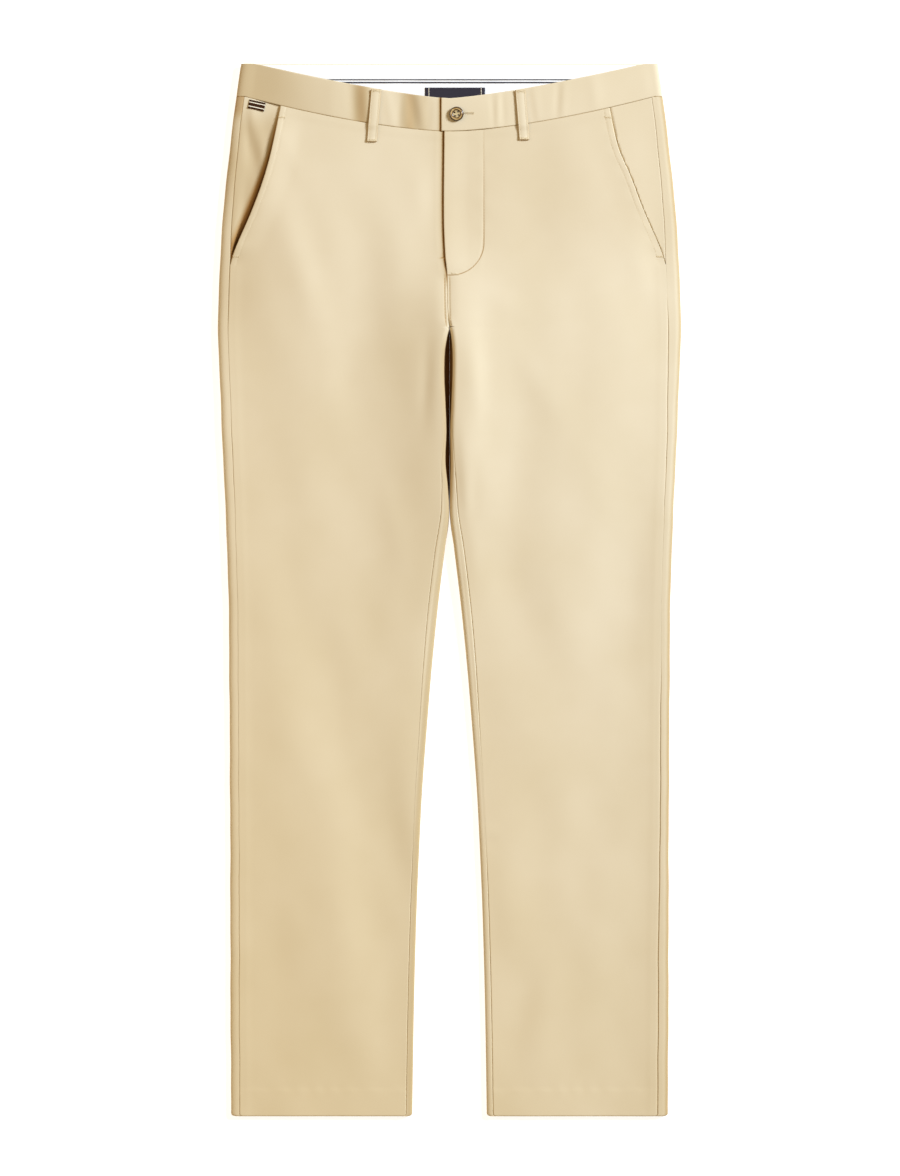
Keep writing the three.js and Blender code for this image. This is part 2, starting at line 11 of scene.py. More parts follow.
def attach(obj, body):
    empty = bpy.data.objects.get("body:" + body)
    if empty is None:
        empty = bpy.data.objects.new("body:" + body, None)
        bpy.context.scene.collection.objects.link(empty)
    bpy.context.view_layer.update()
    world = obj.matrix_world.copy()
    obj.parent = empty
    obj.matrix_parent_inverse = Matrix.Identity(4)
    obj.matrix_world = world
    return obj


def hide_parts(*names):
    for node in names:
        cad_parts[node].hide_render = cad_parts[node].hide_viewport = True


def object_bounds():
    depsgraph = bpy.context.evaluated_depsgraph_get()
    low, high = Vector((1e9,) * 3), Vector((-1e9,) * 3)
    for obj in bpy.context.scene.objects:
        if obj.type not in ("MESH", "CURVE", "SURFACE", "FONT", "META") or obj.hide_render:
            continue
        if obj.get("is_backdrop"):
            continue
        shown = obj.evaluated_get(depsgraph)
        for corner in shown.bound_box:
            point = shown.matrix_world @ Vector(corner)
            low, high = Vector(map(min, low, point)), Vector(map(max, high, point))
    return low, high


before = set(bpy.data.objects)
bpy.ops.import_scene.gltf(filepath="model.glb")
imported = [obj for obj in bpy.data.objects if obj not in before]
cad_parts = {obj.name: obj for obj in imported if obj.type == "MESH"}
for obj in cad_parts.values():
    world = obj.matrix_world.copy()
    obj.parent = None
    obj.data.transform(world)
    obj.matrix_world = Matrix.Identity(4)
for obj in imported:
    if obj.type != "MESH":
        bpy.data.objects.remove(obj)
cad_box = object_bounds()
scene = bpy.context.scene
scene.view_settings.view_transform = "Standard"

# Sizes are in millimetres until a mesh is made. x is towards the wearer's left, "down" is the
# distance below the top edge of the back, "out" the distance from the centre plane, and height
# is above the surface. A row is a line across a panel, named by how far down it is at the side.
MM = 0.001
LENGTH = 1090
LEFT, RIGHT = 1, -1
SIDES = (LEFT, RIGHT)

# In metres: the frame's height at the trousers, and the camera's height above them
FRAME_HEIGHT, CAMERA_HEIGHT = 1.2173, 4.0


def add_object(name, data):
    obj = bpy.data.objects.new(name, data)
    scene.collection.objects.link(obj)
    return obj


def make_camera():
    """A camera straight above the trousers."""
    data = bpy.data.cameras.new("camera")
    data.sensor_fit = "VERTICAL"
    data.sensor_height = 24
    data.lens = data.sensor_height * CAMERA_HEIGHT / FRAME_HEIGHT
    data.clip_end = 20
    camera = add_object("camera", data)
    camera.location = (0.0005, 0.0021, 0.008 + CAMERA_HEIGHT)
    scene.camera = camera


make_camera()


# Tables
def table(columns, *rows):
    return {name: np.array(values, float) for name, values in zip(columns.split(), zip(*rows))}


# side is half the width; edge, body and middle are the heights of the cloth beside the outer
# fold, half way across a leg and at the centre; inset is from the outer fold to the side seam
SECTIONS = table(
    "down side edge body middle inset",
    (0, 215.8, 8.6, 9.2, 9.5, 8.0),
    (70, 225.3, 8.8, 10.0, 10.4, 8.2),
    (140, 233.2, 9.0, 11.2, 12.2, 9.4),
    (210, 238.2, 9.0, 12.4, 15.4, 10.4),
    (275, 239.8, 9.0, 12.8, 19.2, 10.6),
    (340, 237.4, 8.8, 12.4, 19.0, 10.4),
    (440, 233.2, 8.4, 11.0, 14.6, 10.0),
    (540, 229.4, 7.8, 9.4, 9.6, 9.6),
    (640, 228.0, 7.2, 8.0, 7.6, 9.4),
    (800, 227.4, 6.8, 7.0, 6.8, 9.2),
    (1090, 226.4, 6.6, 6.8, 6.6, 9.0),
)
# The inner edge of each leg, and how far round the inner fold the inseam lies
INNER_EDGES = table(
    "down right left drop",
    (205, -26, -26, 12),
    (240, -11, -11, 12),
    (258, -5, -5, 12),
    (275, 0.2, 0.2, 12),
    (285, 2.7, 2.0, 11.5),
    (300, 4.9, 3.2, 10),
    (325, 5.4, 3.1, 8),
    (350, 4.3, 2.0, 6),
    (380, 3.2, 0.8, 3.5),
    (412, 4.2, 1.2, 1),
    (440, 1.6, 0.6, -1.5),
    (466, 0.5, 0.5, -3.5),
    (503, 4.8, 4.8, -5),
    (565, 12.2, 12.2, -5),
    (627, 18.4, 18.4, -4),
    (690, 23.6, 23.6, -2.6),
    (752, 28.2, 28.2, -2),
    (814, 31.4, 31.4, -1.6),
    (876, 34.0, 34.0, -1.5),
    (970, 36.6, 36.6, -1.5),
    (1090, 38.6, 38.6, -1.5),
)
# The left front's edge over the fly, and the centre seam below it
CENTRE_FRONT = table(
    "down x",
    (34, -5.4),
    (75, -5.7),
    (160, -6.2),
    (200, -4.6),
    (217, -2.8),
    (262, -1.8),
    (275, 0),
)
# The edges of the pockets' mouths, by their distance out
POCKET_MOUTHS = table(
    "down right left",
    (34, 173, 163),
    (87, 183.6, 174.6),
    (117, 191.6, 187.4),
    (150, 203.6, 200),
    (191, 221.4, 217.8),
    (210, 227.8, 224.3),
)
# Soft folds as long mounds; turn is the angle from straight down towards the wearer's left
FOLDS = table(
    "x down turn length width height",
    (-140, 190, 17, 330, 26, 1.5),
    (-192, 330, 4, 260, 24, -0.9),
    (-190, 520, 2, 330, 20, 1.0),
    (-52, 215, -4, 200, 22, 0.9),
    (-42, 560, -8, 320, 18, -0.9),
    (-110, 800, 5, 420, 26, 0.7),
    (34, 375, -2, 280, 20, 1.3),
    (108, 520, 10, 360, 30, 1.0),
    (186, 470, -3, 300, 24, -0.8),
    (196, 150, 6, 220, 18, 0.8),
    (120, 760, -5, 420, 28, 0.6),
)
# Soft folds with one steep side: across its line the cloth drops by twice the height, towards
# the wearer's left, and evens out again on both sides
SLOPES = table(
    "x down turn length width height",
    (-152, 190, 17, 300, 15, 1.3),
    (-112, 330, 14, 160, 16, 0.5),
    (-24, 138, 0, 100, 10, 0.4),
    (-70, 240, 4, 260, 20, -0.8),
    (-155, 640, 15, 720, 28, 1.5),
    (-92, 930, 7, 330, 22, 1.1),
    (-112, 655, 19, 430, 24, -0.35),
    (-62, 620, 3, 640, 30, -1.1),
    (30, 130, 0, 240, 26, -0.8),
    (112, 130, 10, 260, 34, -0.9),
    (-212, 185, -2, 300, 20, -1.2),
    (-201, 112, -14, 210, 11, -1.3),
    (-176, 890, 7, 320, 26, -1.0),
    (-48, 790, 8, 240, 14, -0.7),
    (29, 337, 0, 290, 12, 0.95),
    (12, 445, 5, 230, 7, -0.7),
    (-18, 320, -3, 180, 9, -0.5),
    (205, 206, 8, 120, 11, 0.8),
    (207, 520, -8, 300, 13, -0.9),
    (92, 640, 18, 300, 20, 0.4),
    (52, 565, 8, 280, 20, 0.7),
    (132, 596, -16, 320, 26, 0.5),
    (176, 790, -20, 240, 24, -0.9),
    (85, 985, -10, 150, 14, -0.6),
    (84, 850, 4, 220, 18, 0.5),
    (60, 420, -6, 220, 20, 0.6),
    (130, 350, 12, 260, 24, 0.5),
)
# Finer creases and puckers in the panels
CREASES = table(
    "x down turn length width height",
    (-164, 95, 20, 90, 9, 0.5),
    (-24, 330, -3, 130, 7, -0.7),
    (28, 330, 4, 120, 9, 0.6),
    (60, 250, 62, 90, 12, 0.35),
    (-70, 262, -60, 90, 12, -0.35),
    (22, 470, -6, 150, 8, -0.5),
    (-60, 470, 12, 180, 12, 0.4),
    (60, 880, 6, 200, 14, 0.4),
    (-80, 960, -8, 160, 14, 0.4),
    (-180, 900, 3, 260, 14, -0.4),
    (150, 930, -4, 240, 16, 0.4),
    (200, 820, 2, 200, 12, -0.4),
    (-120, 640, 6, 260, 14, -0.35),
    (170, 650, -5, 240, 14, 0.4),
    (90, 330, 30, 140, 14, 0.4),
    (-110, 330, -28, 140, 14, -0.35),
    (44, 796, 88, 30, 4, 0.3),
    (43, 806, 92, 26, 4, -0.3),
)
# Soft creases across the facing of the gaping pocket, each with one steep side
FACING_CREASES = table(
    "x down turn length width height",
    (-203, 80, 18, 150, 7, -1.1),
    (-193, 120, -6, 120, 6, 0.6),
    (-212, 160, -10, 110, 5, -0.5),
)
# Puckers across the waistband
BAND_PUCKERS = table(
    "x lean width height",
    (-62, 5, 5, 0.4),
    (-51, -3, 4, -0.5),
    (-38, 5, 6, -1.3),
    (-29, 2, 5, 0.5),
    (-21, -2, 4, -0.4),
    (-86, 3, 6, 0.7),
    (-99, 2, 7, -0.9),
    (-122, -3, 8, 0.3),
    (45, 3, 3, -0.35),
    (50, -2, 3, 0.3),
    (55.5, 2, 3, -0.3),
    (84, 6, 4, -0.25),
    (90, 5, 4, 0.2),
    (112, -2, 4, -0.45),
    (118, -2, 5, 0.3),
    (150, 5, 7, 0.4),
)
# Hollows of the waistband, which hold less light
BAND_HOLLOWS = table("x width shade", (-91, 10, 0.32), (-41, 10, 0.32), (-25, 6, 0.14))
# How plainly each seam shows, from 0 to 1: the side seams and the inseams
SEAM_MARKS = table(
    "down right left inner_right inner_left",
    (34, 0.5, 0.3, 0.6, 0.6),
    (110, 0.8, 0.6, 0.6, 0.6),
    (185, 1, 0.4, 0.6, 0.6),
    (212, 1, 0.1, 0.6, 0.6),
    (242, 1, 0.1, 0.6, 0.6),
    (262, 0.9, 0.6, 0.6, 0.6),
    (280, 0.3, 0.9, 0.6, 0.6),
    (360, 0.3, 0.8, 0.6, 0.6),
    (400, 0.6, 0.8, 0.6, 0.8),
    (440, 0.4, 0.5, 0.6, 1),
    (490, 0.12, 0.15, 0.6, 1),
    (610, 0.12, 0.15, 0.4, 1),
    (660, 0.12, 0.8, 0.15, 0.8),
    (720, 0.12, 1, 0.1, 0.15),
    (800, 0.15, 1, 0.15, 0.15),
    (860, 0.4, 1, 0.6, 0.9),
    (1090, 0.35, 1, 0.8, 1),
)

# The waistband's height, and the thickness of the cloth
BAND_HEIGHT = 34.2
CLOTH, HEM_CLOTH, BAND_CLOTH = 1.5, 2.4, 2.2
HEM_DEPTH, HEM_CORNER = 28, 3.2
SEAM_GAP, LAYER_GAP = 0.06, 0.3
FORK_DOWN = 275
# How the front hangs below the back at the waist: depth, half width and power of the curve
TOP_DIP = (36.2, 202, 1.3)
LOWER_DIP = (36.2, 212, 1.55)
DIP_ENDS_DOWN = 200
# How far each pocket's mouth lifts and its facing sinks, and the facing's width under the front
POCKET_BOTTOM = 208
POCKET_GAPE = {"right": (2.4, 1.6), "left": (0.5, 0.3)}
POCKET_LIFT_WIDTH = 30
FACING_TUCK = 20
# The folds at the sides and inner edges: widths above and below, and their share of the height
SIDE_ROLL, INNER_ROLL = (6.6, 4.6), (5, 3.6)
ROLL_SHARE, ROLL_MOST = 0.42, 4.2
ROLL_ANGLES = np.radians(np.linspace(0, 90, 9))
# The back's waist stands off the surface, on the belt loops under it
WAIST_RISE, WAIST_RISE_FROM, WAIST_RISE_TO = 1.8, 58, 105
# The fly's end, its lap over the right front, and how the lap lifts and the right front sinks
FLY_BOTTOM, FLY_FADES, FLY_LAP, FLY_LAP_ENDS = 205, 230, 16, 194
FLY_LIFT, FLY_SINK, FLY_LIFT_WIDTH, FLY_SINK_WIDTH = 1.2, 0.6, 26, 9
# The ends of the waistband's halves, by their distance out, and how they lie
BAND_ENDS = {LEFT: -8.9, RIGHT: -30}
BAND_LIFT, BAND_SINK, BAND_PROUD = 1.2, 0.3, 0.4
# Distances from a pocket's mouth or seam to its stitched line, and from the centre to the fork's
POCKET_STITCH, FORK_STITCH = 6, 2.6


# Curves
def smoothstep(value, start, end):
    t = np.clip((value - start) / (end - start), 0, 1)
    return t * t * (3 - 2 * t)


def fade(value, start, end):
    """Falls softly from 1 to 0."""
    return 1 - smoothstep(value, start, end)


def span(value, rise, fall):
    """Rises softly from 0 to 1 over one stretch, and falls back over another."""
    return smoothstep(value, *rise) * fade(value, *fall)


def bell(distance, width):
    return np.exp(-((distance / width) ** 2))


def lerp(a, b, t):
    return a + (b - a) * t


def along(rows, column, down):
    """A column of a table at places between its rows, along a smooth curve."""
    x, y = rows["down"], rows[column]
    slopes = np.empty(len(x))
    slopes[1:-1] = (y[2:] - y[:-2]) / (x[2:] - x[:-2])
    slopes[0], slopes[-1] = (y[1] - y[0]) / (x[1] - x[0]), (y[-1] - y[-2]) / (x[-1] - x[-2])
    down = np.clip(down, x[0], x[-1])
    i = np.clip(np.searchsorted(x, down, side="right") - 1, 0, len(x) - 2)
    step = x[i + 1] - x[i]
    t = (down - x[i]) / step
    t2, t3 = t * t, t * t * t
    ends = y[i] * (2 * t3 - 3 * t2 + 1) + y[i + 1] * (3 * t2 - 2 * t3)
    return ends + step * (slopes[i] * (t3 - 2 * t2 + t) + slopes[i + 1] * (t3 - t2))


def smooth_line(points, count):
    """Evenly spaced points on a smooth curve through some points."""
    points = np.array(points, float)
    steps = np.concatenate([[0], np.cumsum(np.hypot(*np.diff(points, axis=0).T))])
    rows = {"down": steps, "a": points[:, 0], "b": points[:, 1]}
    places = np.linspace(0, steps[-1], count)
    return np.stack([along(rows, "a", places), along(rows, "b", places)], axis=-1)


def distance_to(line, x, down):
    """Distance from points to a line of points."""
    return np.hypot(x[..., None] - line[:, 0], down[..., None] - line[:, 1]).min(axis=-1)


def turned_edge(distance, radius):
    """How far a turned edge rounds down, at a distance from the edge."""
    share = np.clip(1 - distance / radius, 0, 1)
    return -radius * (1 - np.sqrt(1 - share**2)) * 0.9


def groove(distance, width, depth):
    return -depth * bell(distance, width)


def zigzag(count, reach):
    return np.where(np.arange(count) % 2, reach, -reach)


def cos_sin(degrees):
    return math.cos(math.radians(degrees)), math.sin(math.radians(degrees))


# Outlines and seams
def name_of(side):
    return "left" if side == LEFT else "right"


def hem_corner(down):
    """How far the edges draw in at the rounded corners of the hem."""
    reach = np.clip(1 - (LENGTH - down) / HEM_CORNER, 0, 1)
    return HEM_CORNER * (1 - np.sqrt(1 - reach**2))


def side_edge(down):
    sway = 0.3 * np.sin(down / 27) * np.sin(down / 61 + 1) + 0.12 * np.sin(down / 8.3)
    return along(SECTIONS, "side", down) - hem_corner(down) + sway


def side_seam(side, down):
    """The side seam lies on the front, a little further in on the left hip and left shin."""
    inset = along(SECTIONS, "inset", down)
    if side == LEFT:
        inset = inset + 3.5 * fade(down, 230, 420) + 1.8 * smoothstep(down, 780, 940)
    return side_edge(down) - inset


def inner_edge(side, down):
    return along(INNER_EDGES, name_of(side), down) + hem_corner(down)


def inseam_drop(row):
    return along(INNER_EDGES, "drop", row)


def seam_mark(name, down):
    return np.clip(along(SEAM_MARKS, name, down), 0, 1)


def inseam_mark(side, row):
    return seam_mark(f"inner_{name_of(side)}", row)


def pocket_mouth(side, down):
    return along(POCKET_MOUTHS, name_of(side), down)


def pocket_ends(down):
    """1 along a pocket's mouth, and 0 where it is held at both ends."""
    return span(down, (40, 90), (POCKET_BOTTOM - 22, POCKET_BOTTOM))


def dip(shape, x):
    depth, width, power = shape
    return depth * (1 - np.minimum(1, np.abs(x) / width) ** power)


def row_down(row, x):
    return row + dip(LOWER_DIP, x) * fade(row, BAND_HEIGHT, DIP_ENDS_DOWN)


def waist_rise(down):
    return WAIST_RISE * fade(down, WAIST_RISE_FROM, WAIST_RISE_TO)


# Heights of the cloth
def folded(rows, x, down, steep=False):
    """The sum of a table's long soft mounds, or of its folds with one steep side."""
    total = np.zeros(np.broadcast(x, down).shape)
    for fx, fd, turn, length, width, height in zip(*rows.values()):
        cos, sin = cos_sin(turn)
        lengthwise = (x - fx) * sin + (down - fd) * cos
        across = ((x - fx) * cos - (down - fd) * sin) / width
        taper = np.cos(np.pi * np.clip(lengthwise / length, -0.5, 0.5)) ** 2
        form = -across * np.exp((1 - across**2) / 2) if steep else np.exp(-(across**2))
        total = total + height * taper * form
    return total


def unevenness(x, down):
    """The slight unevenness of pressed cloth, in waves of 40 to 130 mm."""
    return (
        0.16 * np.sin(x / 17 + down / 61 + 0.6) * np.sin(down / 43 - x / 90)
        + 0.12 * np.sin(x / 9.5 - down / 38) * np.sin(down / 27 + 1.3)
        + 0.2 * np.sin(x / 31 + 2.1) * np.sin(down / 71 + x / 50)
    )


def top_height(x, down):
    """The height of the cloth's upper face as it lies, without laps and seams."""
    side = side_edge(down)
    inner = np.maximum(0, np.where(x > 0, inner_edge(LEFT, down), inner_edge(RIGHT, down)))
    share = np.clip((np.abs(x) - inner) / (side - inner), 0, 1)
    edge, body, middle = (along(SECTIONS, name, down) for name in ("edge", "body", "middle"))
    laid = body + (middle - body) * bell(share, 0.19) + (edge - body) * smoothstep(share, 0.6, 0.97)
    folds = folded(FOLDS, x, down) + folded(SLOPES, x, down, steep=True) + folded(CREASES, x, down)
    return laid + folds * np.minimum(1, 1.25 * (1 - share) + 0.3) + unevenness(x, down)


def hem_relief(x, down):
    """The turned hem, with the small pulls of its stitching."""
    to_hem = LENGTH - down
    turned = 0.14 * fade(to_hem, HEM_DEPTH - 3, HEM_DEPTH + 3)
    pulls = np.sin(x / 3.3 + np.sin(x / 21) * 2) * bell(to_hem - HEM_DEPTH, 5)
    return turned + 0.09 * pulls + turned_edge(to_hem, 1.1)


# The fly's stitched line: straight down, then round to the centre, as x and down
FLY_POINTS = ((35, 70), (35.6, 105), (35.6, 160), (34.2, 190), (29.5, 205), (20, 214), (9, 218))
FLY_END = (-1.6, 219.6)
FLY_STITCH = smooth_line([*FLY_POINTS, FLY_END], 90)


def fly_relief(side, x, down):
    """The fly's lap and stitched line, and the seam and hollow from it to the fork."""
    to_fly = x - along(CENTRE_FRONT, "x", down)
    lap = fade(down, FLY_BOTTOM, FLY_FADES)
    if side == LEFT:
        to_stitch = distance_to(FLY_STITCH, x, down)
        relief = FLY_LIFT * fade(to_fly, 0, FLY_LIFT_WIDTH) * lap
        relief += groove(to_stitch, 1.1, 0.06 + 0.19 * smoothstep(down, 88, 125))
        relief += 0.12 * fade(x, 30, 37) * fade(down, 205, 220)
        relief += 0.12 * np.sin(down / 4.6 + x / 20) * bell(to_stitch, 7)
    else:
        relief = -FLY_SINK * smoothstep(to_fly, -FLY_SINK_WIDTH, -0.5) * lap
    stitched = groove(np.abs(to_fly) - FORK_STITCH, 0.8, 0.25)
    return relief + span(down, (217, 226), (262, 274)) * (stitched - 0.9 * bell(to_fly, 7))


def front_relief(side, out, row, down, edge_out):
    """The lift of laps and the low relief of seams, hems and topstitching on a front panel."""
    x = side * out
    to_edge = edge_out - out
    near_mouth = fade(pocket_mouth(side, down) - out, 0, POCKET_LIFT_WIDTH)
    lift = POCKET_GAPE[name_of(side)][0] * near_mouth * pocket_ends(down)
    is_pocket = fade(down, POCKET_BOTTOM - 4, POCKET_BOTTOM + 4)
    mouth_mark = 1.0 if side == RIGHT else 0.6 - 0.5 * smoothstep(down, 142, 165)
    crisp = lerp(seam_mark(name_of(side), down), mouth_mark, is_pocket)
    edge = turned_edge(to_edge, 1.0) * crisp
    if side == LEFT:
        edge = edge - 0.2 * fade(to_edge, 0, 2.6) * crisp * (1 - is_pocket)
    to_line = to_edge - POCKET_STITCH
    pocket_line = crisp * (groove(to_line, 0.9, 0.26) + 0.24 * fade(to_edge, 5, 8))
    pucker = 0.1 * np.sin(down / 3.7) * bell(to_line, 4)
    seam_welt = 0.2 * fade(to_edge, 7, 13)
    to_waist = row - PANEL_TOP
    waist = turned_edge(to_waist, 0.6) + 0.25 * fade(to_waist, 6, 11)
    seams = is_pocket * (pocket_line + pucker) + (1 - is_pocket) * seam_welt + waist
    return lift + fly_relief(side, x, down) + edge + seams + hem_relief(x, down)


# Cross-sections. A point is [out, height, inner out, inner height], for the cloth's two faces.
def face_up(out, height, cloth):
    return np.stack([out, height, out, height - cloth], axis=-1)


def face_down(out, height, cloth):
    return np.stack([out, height, out, height + cloth], axis=-1)


def fold(lip, foot, top, floor, cloth, roll, facing):
    """A fold that rolls over at its lip, drops, and rolls under at its foot."""
    rise = min(ROLL_MOST, ROLL_SHARE * (top - floor))

    def bend(edge, width, level, cos, sin):
        outer = edge - facing * width * (1 - sin)
        inner = edge - facing * (width - (width - cloth) * sin)
        return np.stack([outer, level + rise * cos, inner, level + (rise - cloth) * cos], axis=-1)

    cos, sin = np.cos(ROLL_ANGLES), np.sin(ROLL_ANGLES)
    over = bend(lip, roll[0], top - rise, cos, sin)
    under = bend(foot, roll[1], floor + rise, -sin, cos)
    return np.vstack([over, under])


def side_fold(side, down, cloth, proud=0.0):
    edge = side_edge(down)
    top = top_height(side * (edge - SIDE_ROLL[0]), down) + proud
    return fold(edge, edge, top, waist_rise(down), cloth, SIDE_ROLL, 1)


def inner_fold(side, down, cloth):
    """The fold along the inside of a leg; between the thighs its foot reaches the centre."""
    lip = inner_edge(side, down)
    foot = lip if down < FORK_DOWN else lerp(lip, 0.002, span(down, (250, 268), (440, 500)))
    top = top_height(side * max(lip + INNER_ROLL[0], 0), down)
    path = fold(lip, foot, top, waist_rise(down), cloth, INNER_ROLL, -1)
    half = len(ROLL_ANGLES)
    knees = [lerp(path[half - 1], path[half], share) for share in (0.25, 0.5, 0.7, 0.85)]
    for knee, bulge in zip(knees, (0.2, 0.38, 0.45, 0.3)):
        knee[[0, 2]] += bulge * (lip - foot)
    return np.vstack([path[:half], knees, path[half:]])


def path_steps(path):
    return np.concatenate([[0], np.cumsum(np.hypot(*np.diff(path[:, :2], axis=0).T))])


def at_distances(path, distances):
    steps = path_steps(path)
    return np.stack([np.interp(distances, steps, path[:, k]) for k in range(4)], axis=-1)


def first_part(path, length):
    return np.vstack([path[path_steps(path) < length], at_distances(path, np.array([length]))])


def cut_at(path, out):
    """A path up to where it reaches a distance out."""
    end = int(np.argmax(path[:, 0] <= out))
    if end < 1:
        return path
    a, b = path[end - 1], path[end]
    return np.vstack([path[:end], lerp(a, b, (a[0] - out) / (a[0] - b[0]))])


def rows_between(*stops):
    """Rows from each stop to the next; each stop is (down, step to the next stop)."""
    rows = []
    for (start, step), (end, _) in zip(stops, stops[1:]):
        rows.extend(np.linspace(start, end, max(1, round((end - start) / step)), endpoint=False))
    return np.array([*rows, stops[-1][0]])


# Rows down a panel and steps across it, closer together near seams and edges
PANEL_TOP = BAND_HEIGHT + SEAM_GAP
TOP_STOPS = ((PANEL_TOP, 0.3), (PANEL_TOP + 1.5, 1), (PANEL_TOP + 4, 3), (165, 1.2), (200, 3))
FORK_STOPS = ((250, 1.2), (275, 1), (300, 2.6), (520, 6))
HEM_STOPS = ((1058, 1), (1066, 3), (1085, 0.6), (LENGTH, 1))
PANEL_ROWS = rows_between(*TOP_STOPS, *FORK_STOPS, *HEM_STOPS)
EDGE_STEPS = np.array([0, 0.12, 0.3, 0.55, 0.9, 1.4, 2.1, 3, 4, 5, 5.6, 6.2, 7, 8.5, 10.5, 13.5])
# Columns of a front: its middle, the fly, and the turn towards the inner edge
MIDDLE_COLUMNS, FLY_COLUMNS, TURN_COLUMNS, TOP_COLUMNS = 56, 44, 18, 12
FLY_COLUMNS_END, TURN_WIDTH = 38, 8


def front_row(side, row, cloth):
    """The cross-section of a front, from its outer edge to the inseam, or to the centre seam."""
    outer_down = row_down(row, side * pocket_mouth(side, row))
    outer_line = pocket_mouth if outer_down < POCKET_BOTTOM else side_seam
    outer = outer_line(side, outer_down) - SEAM_GAP / 2
    edge = inner_fold(side, row, cloth)
    shoulder = edge[0, 0]
    over = edge[:0]
    if row >= FORK_DOWN:
        drop = inseam_drop(row) - SEAM_GAP / 2
        stop = shoulder - min(drop, 0)
        turn = shoulder + max(0, TURN_WIDTH - drop)
        if drop > 0:
            over = first_part(edge, drop)[1:]
    else:
        down = row_down(row, 0)
        lap = FLY_LAP * fade(down, FLY_LAP_ENDS, FLY_BOTTOM) if side == RIGHT else 0
        inner = side * (along(CENTRE_FRONT, "x", down) + lap) + (0 if lap > 0 else SEAM_GAP / 2)
        stop = max(shoulder, inner)
        turn = max(shoulder, inner + TURN_WIDTH)
        if shoulder > inner:
            over = cut_at(edge, inner)[1:]
    fly = turn + 24
    if side == LEFT:
        fly = max(turn + 4, lerp(FLY_COLUMNS_END, fly, smoothstep(row, 240, 340)))
    middle = np.linspace(outer - EDGE_STEPS[-1], fly, MIDDLE_COLUMNS)[1:]
    inwards = [np.linspace(fly, turn, FLY_COLUMNS)[1:-1], np.linspace(turn, stop, TOP_COLUMNS)]
    outs = np.concatenate([outer - EDGE_STEPS, middle, *inwards])
    downs = row_down(row, side * outs)
    relief = front_relief(side, outs, row, downs, outer)
    top = face_up(outs, top_height(side * outs, downs) + relief, cloth)
    if len(over):
        over = over + np.array([0, relief[-1], 0, relief[-1]])
    end = np.vstack([top[-TOP_COLUMNS:], over])
    places = np.linspace(0, path_steps(end)[-1], TURN_COLUMNS)
    spread = at_distances(end, places)
    rounding = (0.4 if len(over) else 1) * inseam_mark(side, row)
    spread[:, 1] += turned_edge(places[-1] - places, 0.9) * rounding
    return np.vstack([top[:-TOP_COLUMNS], spread])


def back_row(side, row, cloth):
    """The cross-section of a back, from the side seam on the front, round and under to the centre
    or the inseam."""
    seam = side_seam(side, row) + SEAM_GAP / 2
    outer = side_fold(side, row, cloth)
    hem = turned_edge(LENGTH - row, 1.1)
    waist = turned_edge(row - PANEL_TOP, 0.9)
    outs = np.append(seam + EDGE_STEPS[:6], lerp(seam + EDGE_STEPS[5], outer[0, 0], 0.6))
    relief = turned_edge(outs - seam, 0.9) * seam_mark(name_of(side), row)
    flap = face_up(outs, top_height(side * outs, row) + relief, cloth)
    flap[:, 1] += hem + waist
    inner = inner_fold(side, row, cloth)[::-1]
    drop = inseam_drop(row) + SEAM_GAP / 2
    if row < FORK_DOWN:
        ground = face_down(SEAM_GAP / 2 + 6, waist_rise(row), cloth)
        rising = cut_at(np.vstack([ground, inner]), SEAM_GAP / 2)
    elif drop > 0:
        rising = first_part(inner, path_steps(inner)[-1] - drop)
    else:
        outs = np.linspace(inner[-1, 0], inner[-1, 0] - drop, 8)[1:]
        welt = 0.25 * smoothstep(outs - inner[-1, 0], 0, 3)
        rising = np.vstack([inner, face_up(outs, top_height(side * outs, row) + welt, cloth)])
    places = path_steps(rising)[-1] * np.linspace(0, 1, 34) ** 0.8
    rising = at_distances(rising, places)
    if row >= FORK_DOWN:
        open_seam = 1 if inseam_drop(row) < 0 else 0.3
        rising[:, 1] += turned_edge(places[-1] - places, 0.9) * open_seam * inseam_mark(side, row)
    outer = outer + np.array([0, hem * 0.5, 0, 0]) * (outer[:, 1:2] > CLOTH + 2)
    floor = [lerp(outer[-1], rising[0], share) for share in np.linspace(0, 1, 9)[1:-1]]
    return np.vstack([flap, outer, floor, rising])


# Meshes
def at(x, down, height):
    """Points in millimetres from their x, distance down and height."""
    x, down, height = np.broadcast_arrays(x, down, height)
    return np.stack([x, LENGTH / 2 - down, height], axis=-1)


def spots(side, down, points):
    """The outer and inner points of one row of a cross-section."""
    return (
        at(side * points[:, 0], down, points[:, 1]),
        at(side * points[:, 2], down, points[:, 3]),
    )


def finish_mesh(name, mesh, material, smooth_angle=50):
    mesh.polygons.foreach_set("use_smooth", np.ones(len(mesh.polygons), dtype=bool))
    mesh.set_sharp_from_angle(angle=math.radians(smooth_angle))
    mesh.materials.clear()
    mesh.materials.append(material)
    return add_object(name, mesh)


def set_uv(mesh, across, down):
    """UVs in metres across and down a piece, the same for each outer point and its inner one."""
    uv = np.stack([across, down], axis=-1).reshape(-1, 2) * MM
    loops = np.empty(len(mesh.loops), dtype=np.int32)
    mesh.loops.foreach_get("vertex_index", loops)
    mesh.uv_layers["cloth"].data.foreach_set("uv", np.vstack([uv, uv])[loops].ravel())


